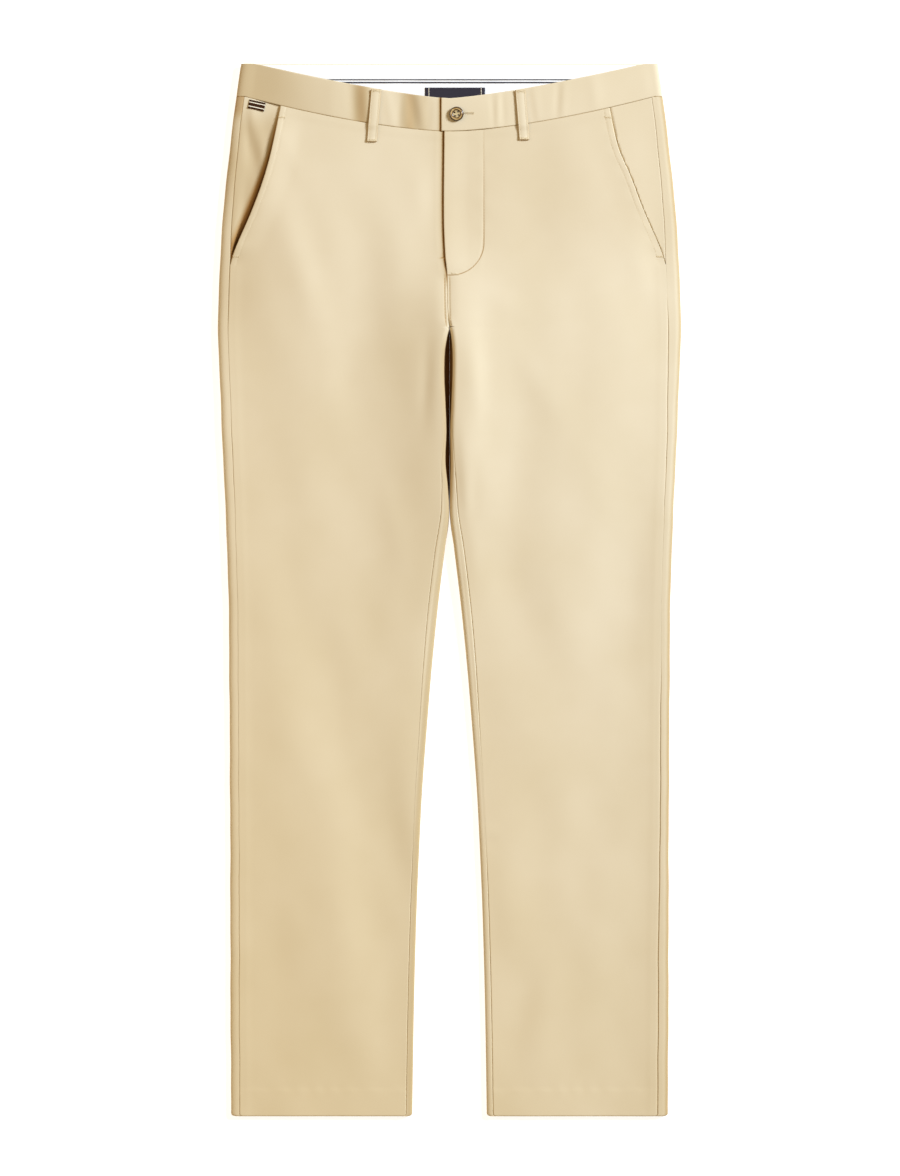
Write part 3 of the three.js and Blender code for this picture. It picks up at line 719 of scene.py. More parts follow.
def shell(name, outer, inner, facing, material, deep=None):
    """A closed wall of cloth from two grids of points, with the painted shade of each point."""
    rows, columns = outer.shape[:2]
    count = rows * columns
    ids = np.arange(count).reshape(rows, columns)

    def quads(a, b, c, d):
        return np.stack([a.ravel(), b.ravel(), c.ravel(), d.ravel()], axis=-1)

    def rim(i, j):
        return quads(i, j, j + count, i + count)

    a, b, c, d = ids[:-1, :-1], ids[:-1, 1:], ids[1:, 1:], ids[1:, :-1]
    upper, lower = quads(a, b, c, d), quads(a + count, d + count, c + count, b + count)
    start, end = rim(ids[:-1, 0], ids[1:, 0]), rim(ids[1:, -1], ids[:-1, -1])
    top, foot = rim(ids[0, 1:], ids[0, :-1]), rim(ids[-1, :-1], ids[-1, 1:])
    faces = np.vstack([upper, lower, start, end, top, foot])
    if facing < 0:
        faces = faces[:, ::-1]
    points = np.vstack([outer.reshape(-1, 3), inner.reshape(-1, 3)]) * MM
    mesh = bpy.data.meshes.new(name)
    mesh.from_pydata(points.tolist(), [], faces.tolist())
    steps = np.linalg.norm(np.diff(outer, axis=1, prepend=outer[:, :1]), axis=2)
    across = np.cumsum(steps, axis=1)
    mesh.uv_layers.new(name="cloth")
    set_uv(mesh, across - across[:, columns // 2 : columns // 2 + 1], outer[:, :, 1])
    shade = mesh.attributes.new("deep", "FLOAT", "POINT")
    values = np.zeros(count * 2) if deep is None else np.concatenate([deep.ravel(), deep.ravel()])
    shade.data.foreach_set("value", values)
    return finish_mesh(name, mesh, material)


def cut_area(grid):
    """The area in square metres of one face of a piece."""
    across = np.diff(grid, axis=1)[:-1]
    down = np.diff(grid, axis=0)[:, :-1]
    return float(np.linalg.norm(np.cross(across, down), axis=2).sum()) * MM * MM


def dress(obj, slot, *nodes):
    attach(obj, "root")
    if nodes:
        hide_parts(*nodes)
    return obj


# Materials
def linear(hexed):
    """An sRGB hex colour as linear RGBA."""
    values = [int(hexed[i : i + 2], 16) / 255 for i in (1, 3, 5)]
    return (*(v / 12.92 if v <= 0.04045 else ((v + 0.055) / 1.055) ** 2.4 for v in values), 1)


def add_node(tree, kind, inputs=None, **settings):
    """Adds a node with its settings. An input is a value or a socket, and a node stands for its
    first output."""
    node = tree.nodes.new(kind)
    for key, value in settings.items():
        setattr(node, key, value)
    for key, value in (inputs or {}).items():
        if isinstance(value, bpy.types.Node):
            value = value.outputs[0]
        if isinstance(value, bpy.types.NodeSocket):
            tree.links.new(value, node.inputs[key])
        else:
            node.inputs[key].default_value = value
    return node


def set_stops(ramp, *stops):
    """Sets the colours along a colour ramp, from its first stop to its last."""
    elements = ramp.color_ramp.elements
    for element, (position, colour) in zip((elements[0], elements[1]), (stops[0], stops[-1])):
        element.position, element.color = position, linear(colour)
    for position, colour in stops[1:-1]:
        elements.new(position).color = linear(colour)


def make_material(name, look, *values):
    """A material from a function that makes its pattern and returns its shader's inputs."""
    material = bpy.data.materials.new(name)
    material.use_nodes = True
    tree = material.node_tree
    tree.nodes.clear()
    shader = add_node(tree, "ShaderNodeBsdfPrincipled", look(tree, *values))
    add_node(tree, "ShaderNodeOutputMaterial", {"Surface": shader})
    return material


# The node settings that mix two colours, and that tint one colour with another
MIX = {"data_type": "RGBA"}
TINT = {"data_type": "RGBA", "blend_type": "MULTIPLY"}
# A wave texture's scale is this, divided by the distance from one wave to the next in metres
WAVE = math.pi / 10
TWILL = ("#DFD0B1", "#E4D6BA")


def fly_line(tree, place, colour):
    """Paints shade along the thin line that the fly's stitches draw in: straight down, then round a
    corner to the fly's edge."""
    out, radius = 35.6, 34
    vector, number = "ShaderNodeVectorMath", "ShaderNodeMath"
    centre = (radius - out, LENGTH / 2 - FLY_END[1] + radius, 0)
    from_centre = {0: place, 1: (1 / MM, -1 / MM, 0), 2: centre}
    q = add_node(tree, vector, from_centre, operation="MULTIPLY_ADD")
    corner = add_node(tree, vector, {0: q, 1: (0, 0, 0)}, operation="MAXIMUM")
    turned = add_node(tree, vector, {0: corner}, operation="LENGTH").outputs["Value"]
    parts = add_node(tree, "ShaderNodeSeparateXYZ", {0: q}).outputs
    nearest = add_node(tree, number, {0: parts["X"], 1: parts["Y"]}, operation="MAXIMUM")
    straight = add_node(tree, number, {0: nearest, 1: 0}, operation="MINIMUM")
    both = add_node(tree, number, {0: turned, 1: straight}, operation="ADD")
    away = add_node(tree, number, {0: both, 1: radius}, operation="SUBTRACT")
    distance = add_node(tree, number, {0: away}, operation="ABSOLUTE")
    width = {"Value": distance, "From Min": 0.8, "From Max": 0.2}
    line = add_node(tree, "ShaderNodeMapRange", width, interpolation_type="SMOOTHSTEP")
    strength = {"To Min": 0.1, "To Max": 0.85}
    lengthwise = {"Value": parts["Y"], "From Min": -120, "From Max": -10, **strength}
    plain = add_node(tree, "ShaderNodeMapRange", lengthwise)
    amount = add_node(tree, number, {0: line, 1: plain}, operation="MULTIPLY")
    darker = {"Factor": amount, "A": colour, "B": linear("#A8834F")}
    return add_node(tree, "ShaderNodeMix", darker, **MIX).outputs["Result"]


def woven_twill(tree, with_fly_shade=False):
    """Cotton twill, 3/1 woven and peached: matt, with a faint fuzz and fine diagonal wales. These
    are 0.9 mm apart, and are drawn 1.2 mm apart so that they show in a close view. A painted
    shade makes the cloth a little yellower and darker towards the right hem, where the light falls
    off. Where it is deep in a fold or seam it is shaded brown, and the same painted shade darkens
    its turned edges, the cloth under laps and where it turns away from the light."""
    uv = add_node(tree, "ShaderNodeUVMap", uv_map="cloth")
    place = add_node(tree, "ShaderNodeTexCoord").outputs["Object"]
    slope = {"Vector": uv, "Rotation": (0, 0, math.radians(27))}
    turned = add_node(tree, "ShaderNodeMapping", slope)
    uneven = {"Distortion": 0.8, "Detail": 1, "Detail Scale": 3}
    drawn = {"Vector": turned, "Scale": WAVE / 0.0012, **uneven}
    wales = add_node(tree, "ShaderNodeTexWave", drawn).outputs["Fac"]
    threads = add_node(tree, "ShaderNodeTexNoise", {"Vector": uv, "Scale": 900, "Detail": 2})
    patches = {"Vector": place, "Scale": 9, "Detail": 3, "Roughness": 0.55}
    clouds = add_node(tree, "ShaderNodeTexNoise", patches).outputs["Fac"]
    clearer = {"Value": clouds, "From Min": 0.3, "From Max": 0.7}
    cloud = add_node(tree, "ShaderNodeMapRange", clearer)
    two_tone = {"Factor": cloud, "A": linear(TWILL[0]), "B": linear(TWILL[1])}
    ground = add_node(tree, "ShaderNodeMix", two_tone, **MIX).outputs["Result"]
    # Painted shade: a little yellower and darker towards the right hem, where the light falls off
    axis = {0: place, 1: (-1.5, -1.1, 0)}
    slant = add_node(tree, "ShaderNodeVectorMath", axis, operation="DOT_PRODUCT").outputs["Value"]
    reach = {"Value": slant, "From Min": -0.3, "From Max": 0.8}
    lower = add_node(tree, "ShaderNodeMapRange", reach)
    falloff_shade = {"Factor": lower, "A": ground, "B": linear("#FEF8E9")}
    falloff_shaded = add_node(tree, "ShaderNodeMix", falloff_shade, **TINT).outputs["Result"]
    ribs = {"Factor": wales, "A": linear("#F9F6F1"), "B": linear("#FFFFFF")}
    valley = add_node(tree, "ShaderNodeMix", ribs, **MIX).outputs["Result"]
    ribbed = {"Factor": 1.0, "A": falloff_shaded, "B": valley}
    cloth = add_node(tree, "ShaderNodeMix", ribbed, **TINT).outputs["Result"]
    if with_fly_shade:
        cloth = fly_line(tree, place, cloth)
    deep = add_node(tree, "ShaderNodeAttribute", attribute_name="deep").outputs["Fac"]
    shade = add_node(tree, "ShaderNodeValToRGB", {"Fac": deep})
    set_stops(shade, (0, "#FFFFFF"), (0.25, "#E1D7C4"), (0.5, "#CBA878"), (1, "#6A4722"))
    shaded = {"Factor": 1.0, "A": cloth, "B": shade}
    colour = add_node(tree, "ShaderNodeMix", shaded, **TINT).outputs["Result"]
    raised = {0: wales, 1: 0.6, 2: threads.outputs["Fac"]}
    height = add_node(tree, "ShaderNodeMath", raised, operation="MULTIPLY_ADD")
    relief = {"Height": height, "Strength": 0.15, "Distance": 0.0002}
    bump = add_node(tree, "ShaderNodeBump", relief)
    return {
        "Base Color": colour,
        "Normal": bump,
        "Roughness": 0.88,
        "Specular IOR Level": 0.22,
        "Sheen Weight": 0.12,
        "Sheen Roughness": 0.5,
        "Sheen Tint": linear("#F4E6C8"),
    }


def woven_plain(tree, light, dark, pitch, roughness=0.8, sheen=0.1):
    """Plain-woven cotton or tape: crossed threads, a little darker between them. Real threads are
    0.3 to 0.4 mm apart. Their pitch, in mm, is drawn coarser so that they show in a close view."""
    uv = add_node(tree, "ShaderNodeUVMap", uv_map="cloth")
    wave = {"Vector": uv, "Scale": WAVE / (pitch * MM)}
    warp, weft = (add_node(tree, "ShaderNodeTexWave", wave, bands_direction=k) for k in "XY")
    crossed = {0: warp.outputs["Fac"], 1: weft.outputs["Fac"]}
    weave = add_node(tree, "ShaderNodeMath", crossed, operation="MULTIPLY")
    tones = {"Factor": weave, "A": linear(dark), "B": linear(light)}
    colour = add_node(tree, "ShaderNodeMix", tones, **MIX).outputs["Result"]
    bump = add_node(tree, "ShaderNodeBump", {"Height": weave, "Strength": 0.25, "Distance": 0.0002})
    return {
        "Base Color": colour,
        "Normal": bump,
        "Roughness": roughness,
        "Specular IOR Level": 0.25,
        "Sheen Weight": sheen,
    }


def striped_tape(tree):
    """Woven tape of the side tab: a dull dark brown ground with two narrow cream lines along it.
    Its ribs are 0.4 mm apart, and are drawn 0.6 mm apart so that they show in a close view."""
    uv = add_node(tree, "ShaderNodeUVMap", uv_map="cloth")
    across = add_node(tree, "ShaderNodeSeparateXYZ", {0: uv}).outputs["Y"]
    middle, line_place, half_line = LENGTH / 2 - TAB["down"], 2.1, 0.45
    lines = []
    for centre in (middle + line_place, middle - line_place):
        near = {0: across, 1: centre * MM, 2: half_line * MM}
        lines.append(add_node(tree, "ShaderNodeMath", near, operation="COMPARE"))
    both = add_node(tree, "ShaderNodeMath", dict(enumerate(lines)), operation="MAXIMUM")
    stripes = {"Factor": both, "A": linear("#3A1F0C"), "B": linear("#F2E8D0")}
    colour = add_node(tree, "ShaderNodeMix", stripes, **MIX).outputs["Result"]
    wave = {"Vector": uv, "Scale": WAVE / 0.0006}
    ribs = add_node(tree, "ShaderNodeTexWave", wave, bands_direction="X").outputs["Fac"]
    bump = add_node(tree, "ShaderNodeBump", {"Height": ribs, "Strength": 0.3, "Distance": 0.0002})
    return {"Base Color": colour, "Normal": bump, "Roughness": 0.85, "Specular IOR Level": 0.12}


def polished_horn(tree):
    """Horn-effect polyester resin, turned and polished: cloudy brown with darker veins some 5 mm
    long, and a soft gloss. A painted shade darkens the groove round the dish, and the outer rim
    is drawn darker too."""
    place = add_node(tree, "ShaderNodeTexCoord").outputs["Object"]
    drawn = add_node(tree, "ShaderNodeMapping", {"Vector": place, "Scale": (1, 2.6, 1)})
    veins = add_node(tree, "ShaderNodeTexNoise", {"Vector": drawn, "Scale": 220, "Detail": 4})
    cloudy = add_node(tree, "ShaderNodeValToRGB", {"Fac": veins.outputs["Fac"]})
    set_stops(cloudy, (0.36, "#A88E5A"), (0.62, "#DCC99E"))
    centre = (-BUTTON["x"] * MM, -(LENGTH / 2 - BUTTON["down"]) * MM, 0)
    from_centre = add_node(tree, "ShaderNodeMapping", {"Vector": place, "Location": centre})
    level = {0: from_centre, 1: (1, 1, 0)}
    flat = add_node(tree, "ShaderNodeVectorMath", level, operation="MULTIPLY")
    out = add_node(tree, "ShaderNodeVectorMath", {0: flat}, operation="LENGTH").outputs["Value"]
    share = add_node(tree, "ShaderNodeMapRange", {"Value": out, "From Max": BUTTON["radius"] * MM})
    rings = add_node(tree, "ShaderNodeValToRGB", {"Fac": share})
    # Rings across the button: a painted shade in the groove round the dish, and a darker outer rim
    groove_stops = ((0.46, "#FFFFFF"), (0.52, "#6A4C2C"), (0.61, "#6A4C2C"), (0.68, "#FFF2DC"))
    set_stops(rings, *groove_stops, (0.8, "#F0E0C4"), (0.87, "#5A4024"), (1, "#4A321C"))
    ringed = {"Factor": 1.0, "A": cloudy, "B": rings}
    colour = add_node(tree, "ShaderNodeMix", ringed, **TINT).outputs["Result"]
    gloss = {"Roughness": 0.3, "IOR": 1.54, "Coat Weight": 0.2, "Coat Roughness": 0.15}
    return {"Base Color": colour, **gloss}


def spun_thread(tree, colour):
    """Spun polyester sewing thread, slightly glossy, its twist about 0.4 mm long."""
    place = add_node(tree, "ShaderNodeTexCoord").outputs["Object"]
    twist = add_node(tree, "ShaderNodeTexNoise", {"Vector": place, "Scale": 2500}).outputs["Fac"]
    bump = add_node(tree, "ShaderNodeBump", {"Height": twist, "Strength": 0.3, "Distance": 0.0001})
    return {"Base Color": linear(colour), "Normal": bump, "Roughness": 0.6, "Sheen Weight": 0.1}


def painted_board(tree):
    """Matt white studio board, evenly lit from within like a light table, with a faint roller
    texture some 15 mm wide."""
    place = add_node(tree, "ShaderNodeTexCoord").outputs["Object"]
    grain = add_node(tree, "ShaderNodeTexNoise", {"Vector": place, "Scale": 60}).outputs["Fac"]
    bump = add_node(tree, "ShaderNodeBump", {"Height": grain, "Strength": 0.02, "Distance": 0.001})
    return {
        "Base Color": linear("#C8C8C8"),
        "Roughness": 0.9,
        "Normal": bump,
        "Specular IOR Level": 0.1,
        "Emission Color": linear("#FFFFFF"),
        "Emission Strength": 0.78,
    }


# Place and sizes of the waist button and of the side tab; turns are in degrees
BUTTON = {"x": 7.2, "down": 52.8, "turn": 12, "radius": 7.4, "thickness": 3.0}
HOLE_RADIUS, HOLE_OUT = 1.0, 1.85
TAB = {"x": -199.6, "down": 43.6, "turn": 12, "width": 17, "height": 9, "thickness": 1}

twill = make_material("cotton_twill_peached", woven_twill)
# The same twill, with the painted shade of the fly's stitched line
fly_twill = make_material("cotton_twill_peached_with_fly_line_shade", woven_twill, True)
poplin = make_material("cotton_poplin_bleached", woven_plain, "#FCFBFA", "#F4F3F1", 0.9)
navy_tape = make_material("satin_tape_navy", woven_plain, "#2A2736", "#1E1B29", 0.8, 0.5, 0.2)
label_weave = make_material("damask_label_navy", woven_plain, "#332E3C", "#231F2B", 0.7, 0.55, 0.2)
tab_tape = make_material("woven_tape_brown_cream", striped_tape)
horn = make_material("horn_resin_polished", polished_horn)
sand_thread = make_material("polyester_thread_sand", spun_thread, "#DCC9A2")
cream_thread = make_material("polyester_thread_cream", spun_thread, "#EDE2CC")
# Brown thread lies only in the buttonhole's slit, as its painted shade
slit_shade_thread = make_material("polyester_thread_painted_slit_shade", spun_thread, "#8A6E45")
# Dark thread lies only in the button's holes, as their painted shade
hole_shade_thread = make_material("polyester_thread_painted_hole_shade", spun_thread, "#33210F")


# The painted shade of the cloth, from 0 where it lies open to 1 where hardly any light reaches:
# how dark each is where it is darkest, or at its upper and lower end
SHADE = {
    "gap": 0.66,
    "left front": 0.055,
    "left rim": 0.28,
    "left lip": 0.15,
    "right hip": 0.1,
    "right lip": 0.26,
    "right thigh": 0.08,
    "right strip": (0.34, 0.13),
    "side seam": (0.14, 0.34),
    "waist seam": 0.15,
    "fork seam": 0.4,
    "fly edge": 0.5,
    "under lap": 1.1,
    "beside lap": 0.22,
    "left mouth": 0.35,
    "right mouth": 1.25,
    "right facing": 0.2,
    "left band": 0.03,
    "right band": 0.24,
    "loop edge": 0.5,
}


def gap_shade(side, row, points):
    """The shade deep between the thighs."""
    lip = inner_edge(side, row)
    top = top_height(side * max(lip + INNER_ROLL[0], 0), row)
    below = smoothstep(top - points[:, 1], 2.2, 6.0)
    near = fade(points[:, 0], lip + 2.5, lip + 5.5)
    return SHADE["gap"] * below * near * span(row, (274, 280), (448, 472))


def edge_shade(side, row, points):
    """The shade of the turned edges and where the cloth turns away from the light."""
    out, height = points[:, 0], points[:, 1]
    to_side, to_inner = side_edge(row) - out, out - inner_edge(side, row)
    if side == LEFT:
        hip = SHADE["left front"] * fade(row, 150, 240) * smoothstep(height, 4, 8)
        shin = SHADE["left front"] * fade(to_side, 10, 70) * smoothstep(row, 420, 560)
        rim = SHADE["left rim"] * fade(to_side, 1.0, 5.0)
        lip = SHADE["left lip"] * fade(to_inner, 1, 7) * span(row, (320, 360), (440, 480))
        return hip + shin + rim + lip
    hip = SHADE["right hip"] * bell(to_side, 52) * span(row, (50, 110), (230, 330))
    lip = SHADE["right lip"] * fade(to_inner, 1, 8) * smoothstep(row, 262, 300)
    thigh = SHADE["right thigh"] * bell(to_inner - 26, 44) * span(row, (190, 270), (460, 640))
    strip = lerp(*SHADE["right strip"], smoothstep(row, 46, 62))
    return hip + np.maximum(lip, thigh) + strip * fade(to_side, 9, 17) * fade(row, 100, 180)


def seam_shade(side, row, points):
    """The painted shade of a seam or stitched line, a darker line where the cloth is drawn in, and
    the painted shadow of the fly's lap: along its edge, under it and beside it.
    """
    out = points[:, 0]
    down = row_down(row, side * out)
    pressed = lerp(*SHADE["side seam"], smoothstep(row, 560, 900)) * seam_mark(name_of(side), row)
    shade = pressed * bell(out - side_seam(side, down), 0.5)
    shade = shade + SHADE["waist seam"] * bell(row - PANEL_TOP, 0.5)
    to_fly = side * out - along(CENTRE_FRONT, "x", down)
    if side == LEFT:
        edge = SHADE["fly edge"] * np.exp(-np.maximum(to_fly, 0) / 0.4)
        shade = shade + edge * fade(down, 205, 222)
    else:
        under = np.minimum(to_fly, 0)
        lap = SHADE["under lap"] * np.exp(under / 1.0) + SHADE["beside lap"] * np.exp(under / 6)
        shade = shade + lap * span(down, (36, 60), (FLY_BOTTOM, FLY_FADES + 8))
    fork = SHADE["fork seam"] * span(down, (217, 226), (268, 276))
    shade = shade + fork * bell(np.abs(to_fly) - FORK_STITCH, 0.5)
    return np.clip(shade, 0, 1)


# Panels
def panel(name, side, make_row, facing, down_of, material):
    outers, inners, deeps = [], [], []
    for row in PANEL_ROWS:
        points = make_row(side, row, HEM_CLOTH if row >= LENGTH - HEM_DEPTH else CLOTH)
        outer, inner = spots(side, down_of(row, side * points[:, 0]), points)
        outers.append(outer)
        inners.append(inner)
        shade = np.maximum(gap_shade(side, row, points), seam_shade(side, row, points))
        deeps.append(np.clip(shade + edge_shade(side, row, points), 0, 1))
    outer = np.array(outers)
    piece = shell(name, outer, np.array(inners), facing, material, np.array(deeps))
    return piece, cut_area(outer)


for side in SIDES:
    name = name_of(side)
    material = fly_twill if side == LEFT else twill
    front, area = panel(f"{name}_front_cloth", side, front_row, side, row_down, material)
    dress(front, "twill", f"{name}_front")
    back, area = panel(f"{name}_back_cloth", side, back_row, -side, lambda row, x: row, twill)
    dress(back, "twill", f"{name}_back")


# Pocket facings
def facing_height(side, out, down):
    """A facing lies deep at its pocket's mouth, and rises to meet the back at the side seam."""
    mouth = pocket_mouth(side, down)
    shown = np.maximum(side_seam(side, down) - mouth, 6)
    sink = CLOTH + LAYER_GAP + POCKET_GAPE[name_of(side)][1] * pocket_ends(down)
    if side == LEFT:
        rises = smoothstep(out - mouth, -0.1, lerp(1.6, 0.6, smoothstep(down, 60, 150)))
    else:
        rises = smoothstep(out - mouth, 0.5, shown - 2)
    return top_height(side * out, down) - sink * (1 - rises)


def facing_shade(side, out, down):
    """The painted shade under a pocket's mouth, which reaches further into the gaping right pocket,
    and a fainter painted shade over each facing.
    """
    into = np.maximum(out - pocket_mouth(side, down), 0)
    held = 0.25 + 0.75 * pocket_ends(down)
    if side == LEFT:
        line = SHADE["left mouth"] * np.exp(-into / 1.0) * held
        return np.maximum(line * (1 - 0.9 * smoothstep(down, 142, 168)), SHADE["left front"])
    reach = lerp(2.2, 6.0, smoothstep(down, 80, 145))
    mouth = np.minimum(1, SHADE["right mouth"] * np.exp(-into / reach)) * held
    return np.maximum(mouth, SHADE["right facing"] * smoothstep(down, 36, 70))


def pocket_facing(side):
    outers, inners, deeps = [], [], []
    for row in rows_between((PANEL_TOP, 0.4), (PANEL_TOP + 2, 2.5), (206.5, 1)):
        outer_down = row_down(row, side * side_seam(side, row))
        outer = side_seam(side, outer_down) - SEAM_GAP / 2
        inner = pocket_mouth(side, outer_down) - FACING_TUCK
        outs = np.concatenate([outer - EDGE_STEPS[:9], np.linspace(outer - 4.6, inner, 46)])
        downs = row_down(row, side * outs)
        edges = turned_edge(outer - outs, 0.9) + turned_edge(row - PANEL_TOP, 0.9)
        creases = folded(FACING_CREASES, side * outs, downs, steep=True)
        relief = edges + creases * smoothstep(outer - outs, 2, 12)
        points = face_up(outs, facing_height(side, outs, downs) + relief, CLOTH)
        for grid, line in zip((outers, inners), spots(side, downs, points)):
            grid.append(line)
        deeps.append(facing_shade(side, outs, downs))
    outer = np.array(outers)
    name = f"{name_of(side)}_pocket_facing"
    piece = shell(f"{name}_cloth", outer, np.array(inners), side, twill, np.array(deeps))
    dress(piece, "twill", name)


for side in SIDES:
    pocket_facing(side)


# Waistband
def band_top(x):
    return dip(TOP_DIP, x)


def band_bottom(x):
    return BAND_HEIGHT + dip(LOWER_DIP, x)


def band_height(side, x, down):
    base = top_height(x, down) + BAND_PROUD
    if side == LEFT:
        return base + BAND_LIFT * fade(x, 30, 76)
    return base - BAND_SINK * smoothstep(x, -34, -13)


def band_relief(x, level):
    """Puckers across the band and its swell between the seams; level is 0 to 1 down the band."""
    total = np.zeros(np.broadcast(x, level).shape) - 1.2 * smoothstep(-x, 150, 212)
    for px, lean, width, height in zip(*BAND_PUCKERS.values()):
        total = total + height * bell(x - px - lean * (level - 0.5), width)
    swell = np.sin(np.pi * np.clip(level, 0, 1)) ** 0.5
    return total * (0.35 + 0.65 * swell) + 0.35 * swell


def band_face(x, down):
    """The height of the left half's face, with its puckers."""
    level = (down - band_top(x)) / (band_bottom(x) - band_top(x))
    return band_height(LEFT, x, down) + band_relief(x, level)


def band_shade(side, outs):
    """The shade of the hip, of the hollows and beside the lap, and that of the hip alone."""
    if side == LEFT:
        hip = np.full(len(outs), SHADE["left band"])
        lap = np.exp(-(outs - BAND_ENDS[LEFT]) / 0.4)
    else:
        hip = SHADE["right band"] * smoothstep(outs, 80, 214)
        lap = np.exp(-np.maximum(outs + BAND_ENDS[LEFT], 0) / 1.3)
    hollows = sum(most * bell(side * outs - x, w) for x, w, most in zip(*BAND_HOLLOWS.values()))
    return np.clip(lap + hip + hollows, 0, 1), hip[-1]


def waistband(side):
    end = BAND_ENDS[side]
    near_top, near_seam = [0, 0.008, 0.02, 0.04], [0.96, 0.98, 0.992, 1]
    outers, inners, deeps = [], [], []
    for level in [*near_top, *np.linspace(0.065, 0.935, 26), *near_seam]:
        back_down = level * BAND_HEIGHT
        roll = side_fold(side, back_down, BAND_CLOTH, BAND_PROUD)
        soft = turned_edge(min(level, 1 - level) * BAND_HEIGHT, 0.7)
        outs = np.concatenate([end + EDGE_STEPS, np.linspace(end + 14.5, roll[0, 0], 130)])
        downs = lerp(band_top(outs), band_bottom(outs), level)
        relief = band_relief(side * outs, level) * smoothstep(roll[0, 0] - outs, 0, 12)
        relief = relief + turned_edge(outs - end, 1.1) + soft
        front = face_up(outs, band_height(side, side * outs, downs) + relief, BAND_CLOTH)
        front[:, 3] -= soft * 1.5
        roll[:, 1] += soft * smoothstep(roll[:, 1], 3, 7)
        seat = face_down(SEAM_GAP / 2, waist_rise(back_down), BAND_CLOTH)
        back = np.array([lerp(roll[-1], seat, share) for share in np.linspace(0, 1, 15)[1:]])
        back[:, 3] += soft
        round_back = np.vstack([roll[1:], back])
        a, b = spots(side, downs, front)
        c, d = spots(side, back_down, round_back)
        outers.append(np.vstack([a, c]))
        inners.append(np.vstack([b, d]))
        front_shade, hip = band_shade(side, outs)
        shade = np.append(front_shade, hip * smoothstep(round_back[:, 1], 3, 8))
        seam = SHADE["waist seam"] * bell((1 - level) * BAND_HEIGHT, 0.5)
        deeps.append(np.maximum(shade, seam))
    outer = np.array(outers)
    name = f"waistband_{name_of(side)}"
    piece = shell(f"{name}_cloth", outer, np.array(inners), -side, twill, np.array(deeps))
    dress(piece, "twill", name)


for side in SIDES:
    waistband(side)


# Waistband lining, piping and label inside the back. A box is its ends in x and its ends down.
LINING = (-203, 203, 1.2, 56)
PIPINGS = {"upper": (-202, 202, 15.9, 16.9), "lower": (-202, 202, 18.7, 20.1)}
LABEL = (-25.4, 36.8, 24.6, 44)
LINING_LEVEL, LINING_CLOTH = 4.3, 1.0
TRIM_LEVEL, TRIM_CLOTH = 5.4, 0.6


def inside_strip(name, box, level, thickness, material, grid, relief):
    x0, x1, top, bottom = box
    xs, downs = np.meshgrid(np.linspace(x0, x1, grid[0]), np.linspace(top, bottom, grid[1]))
    edge = np.minimum(np.minimum(xs - x0, x1 - xs), np.minimum(downs - top, bottom - downs))
    height = level + thickness + relief(xs, downs) + turned_edge(edge, min(0.5, thickness * 0.7))
    outer = at(xs, downs, height)
    return shell(name, outer, at(xs, downs, level), -1, material), cut_area(outer)


def lining_relief(x, down):
    return 0.12 * np.sin(x / 14 + down / 9) * np.sin(x / 37) + groove(down - 3.2, 0.7, 0.2)


def piping_relief(x, down):
    return 0.05 * np.sin(x / 6)


def label_relief(x, down):
    return 0.12 * np.sin(x / 8) * np.sin(down / 7)


for place, box in PIPINGS.items():
    node = f"lining_piping_{place}"
    piping, _ = inside_strip(
        f"{node}_tape", box, TRIM_LEVEL, TRIM_CLOTH, navy_tape, (160, 6), piping_relief
    )
    dress(piping, "piping", node)
lining, area = inside_strip(
    "waistband_lining_cloth", LINING, LINING_LEVEL, LINING_CLOTH, poplin, (160, 34), lining_relief
)
dress(lining, "lining", "waistband_lining")
label, area = inside_strip(
    "waist_label_weave", LABEL, TRIM_LEVEL, TRIM_CLOTH, label_weave, (60, 24), label_relief
)
dress(label, "label", "waist_label")

# Belt loops
FRONT_LOOPS = {
    "right": {"top_x": -75.8, "bottom_x": -80.4, "start": 27.2, "end": 81.4},
    "left": {"top_x": 73.2, "bottom_x": 77.4, "start": 28.0, "end": 79.4},
}
BACK_LOOPS = {"right": -128, "centre": 0, "left": 128}
BACK_LOOP_TOP, BACK_LOOP_END = 1, 53
LOOP_WIDTH, LOOP_CLOTH, LOOP_ARCH = 10.6, 1.3, 0.5
# Places across a loop and down it, as shares of its width and length; its stitched lines
LOOP_HALF = np.array([0.5, 0.49, 0.47, 0.44, 0.4, 0.36, 0.32, 0.28, 0.18])
LOOP_ACROSS = np.concatenate([-LOOP_HALF, [0], LOOP_HALF[::-1]])
LOOP_DOWN = np.array([0, 0.004, 0.01, 0.02, *np.linspace(0.04, 0.96, 44), 0.98, 0.99, 0.996, 1])
LOOP_STITCH = 0.32


def loop_surface(loop, share, across):
    """x, down and height of a front loop's face, at a share of its length and of its width."""
    centre = lerp(loop["top_x"], loop["bottom_x"], share)
    x = centre + across * LOOP_WIDTH
    down = lerp(loop["start"], loop["end"], share)
    seam = band_bottom(centre)
    under = top_height(x, down) + (BAND_PROUD + 0.55) * fade(down, seam + 1, seam + 8)
    arch = LOOP_ARCH * np.sin(np.pi * share) ** 0.8
    crown = 0.25 * (1 - (2 * across) ** 2)
    ends = 0.5 * (bell(share, 0.05) + bell(1 - share, 0.05))
    to_end = np.minimum(share, 1 - share) * (loop["end"] - loop["start"])
    edges = turned_edge((0.5 - np.abs(across)) * LOOP_WIDTH, 0.8) + turned_edge(to_end, 0.8)
    lines = groove((np.abs(across) - LOOP_STITCH) * LOOP_WIDTH, 0.7, 0.2)
    return x, down, under + LAYER_GAP + LOOP_CLOTH + arch + crown + ends + edges + lines


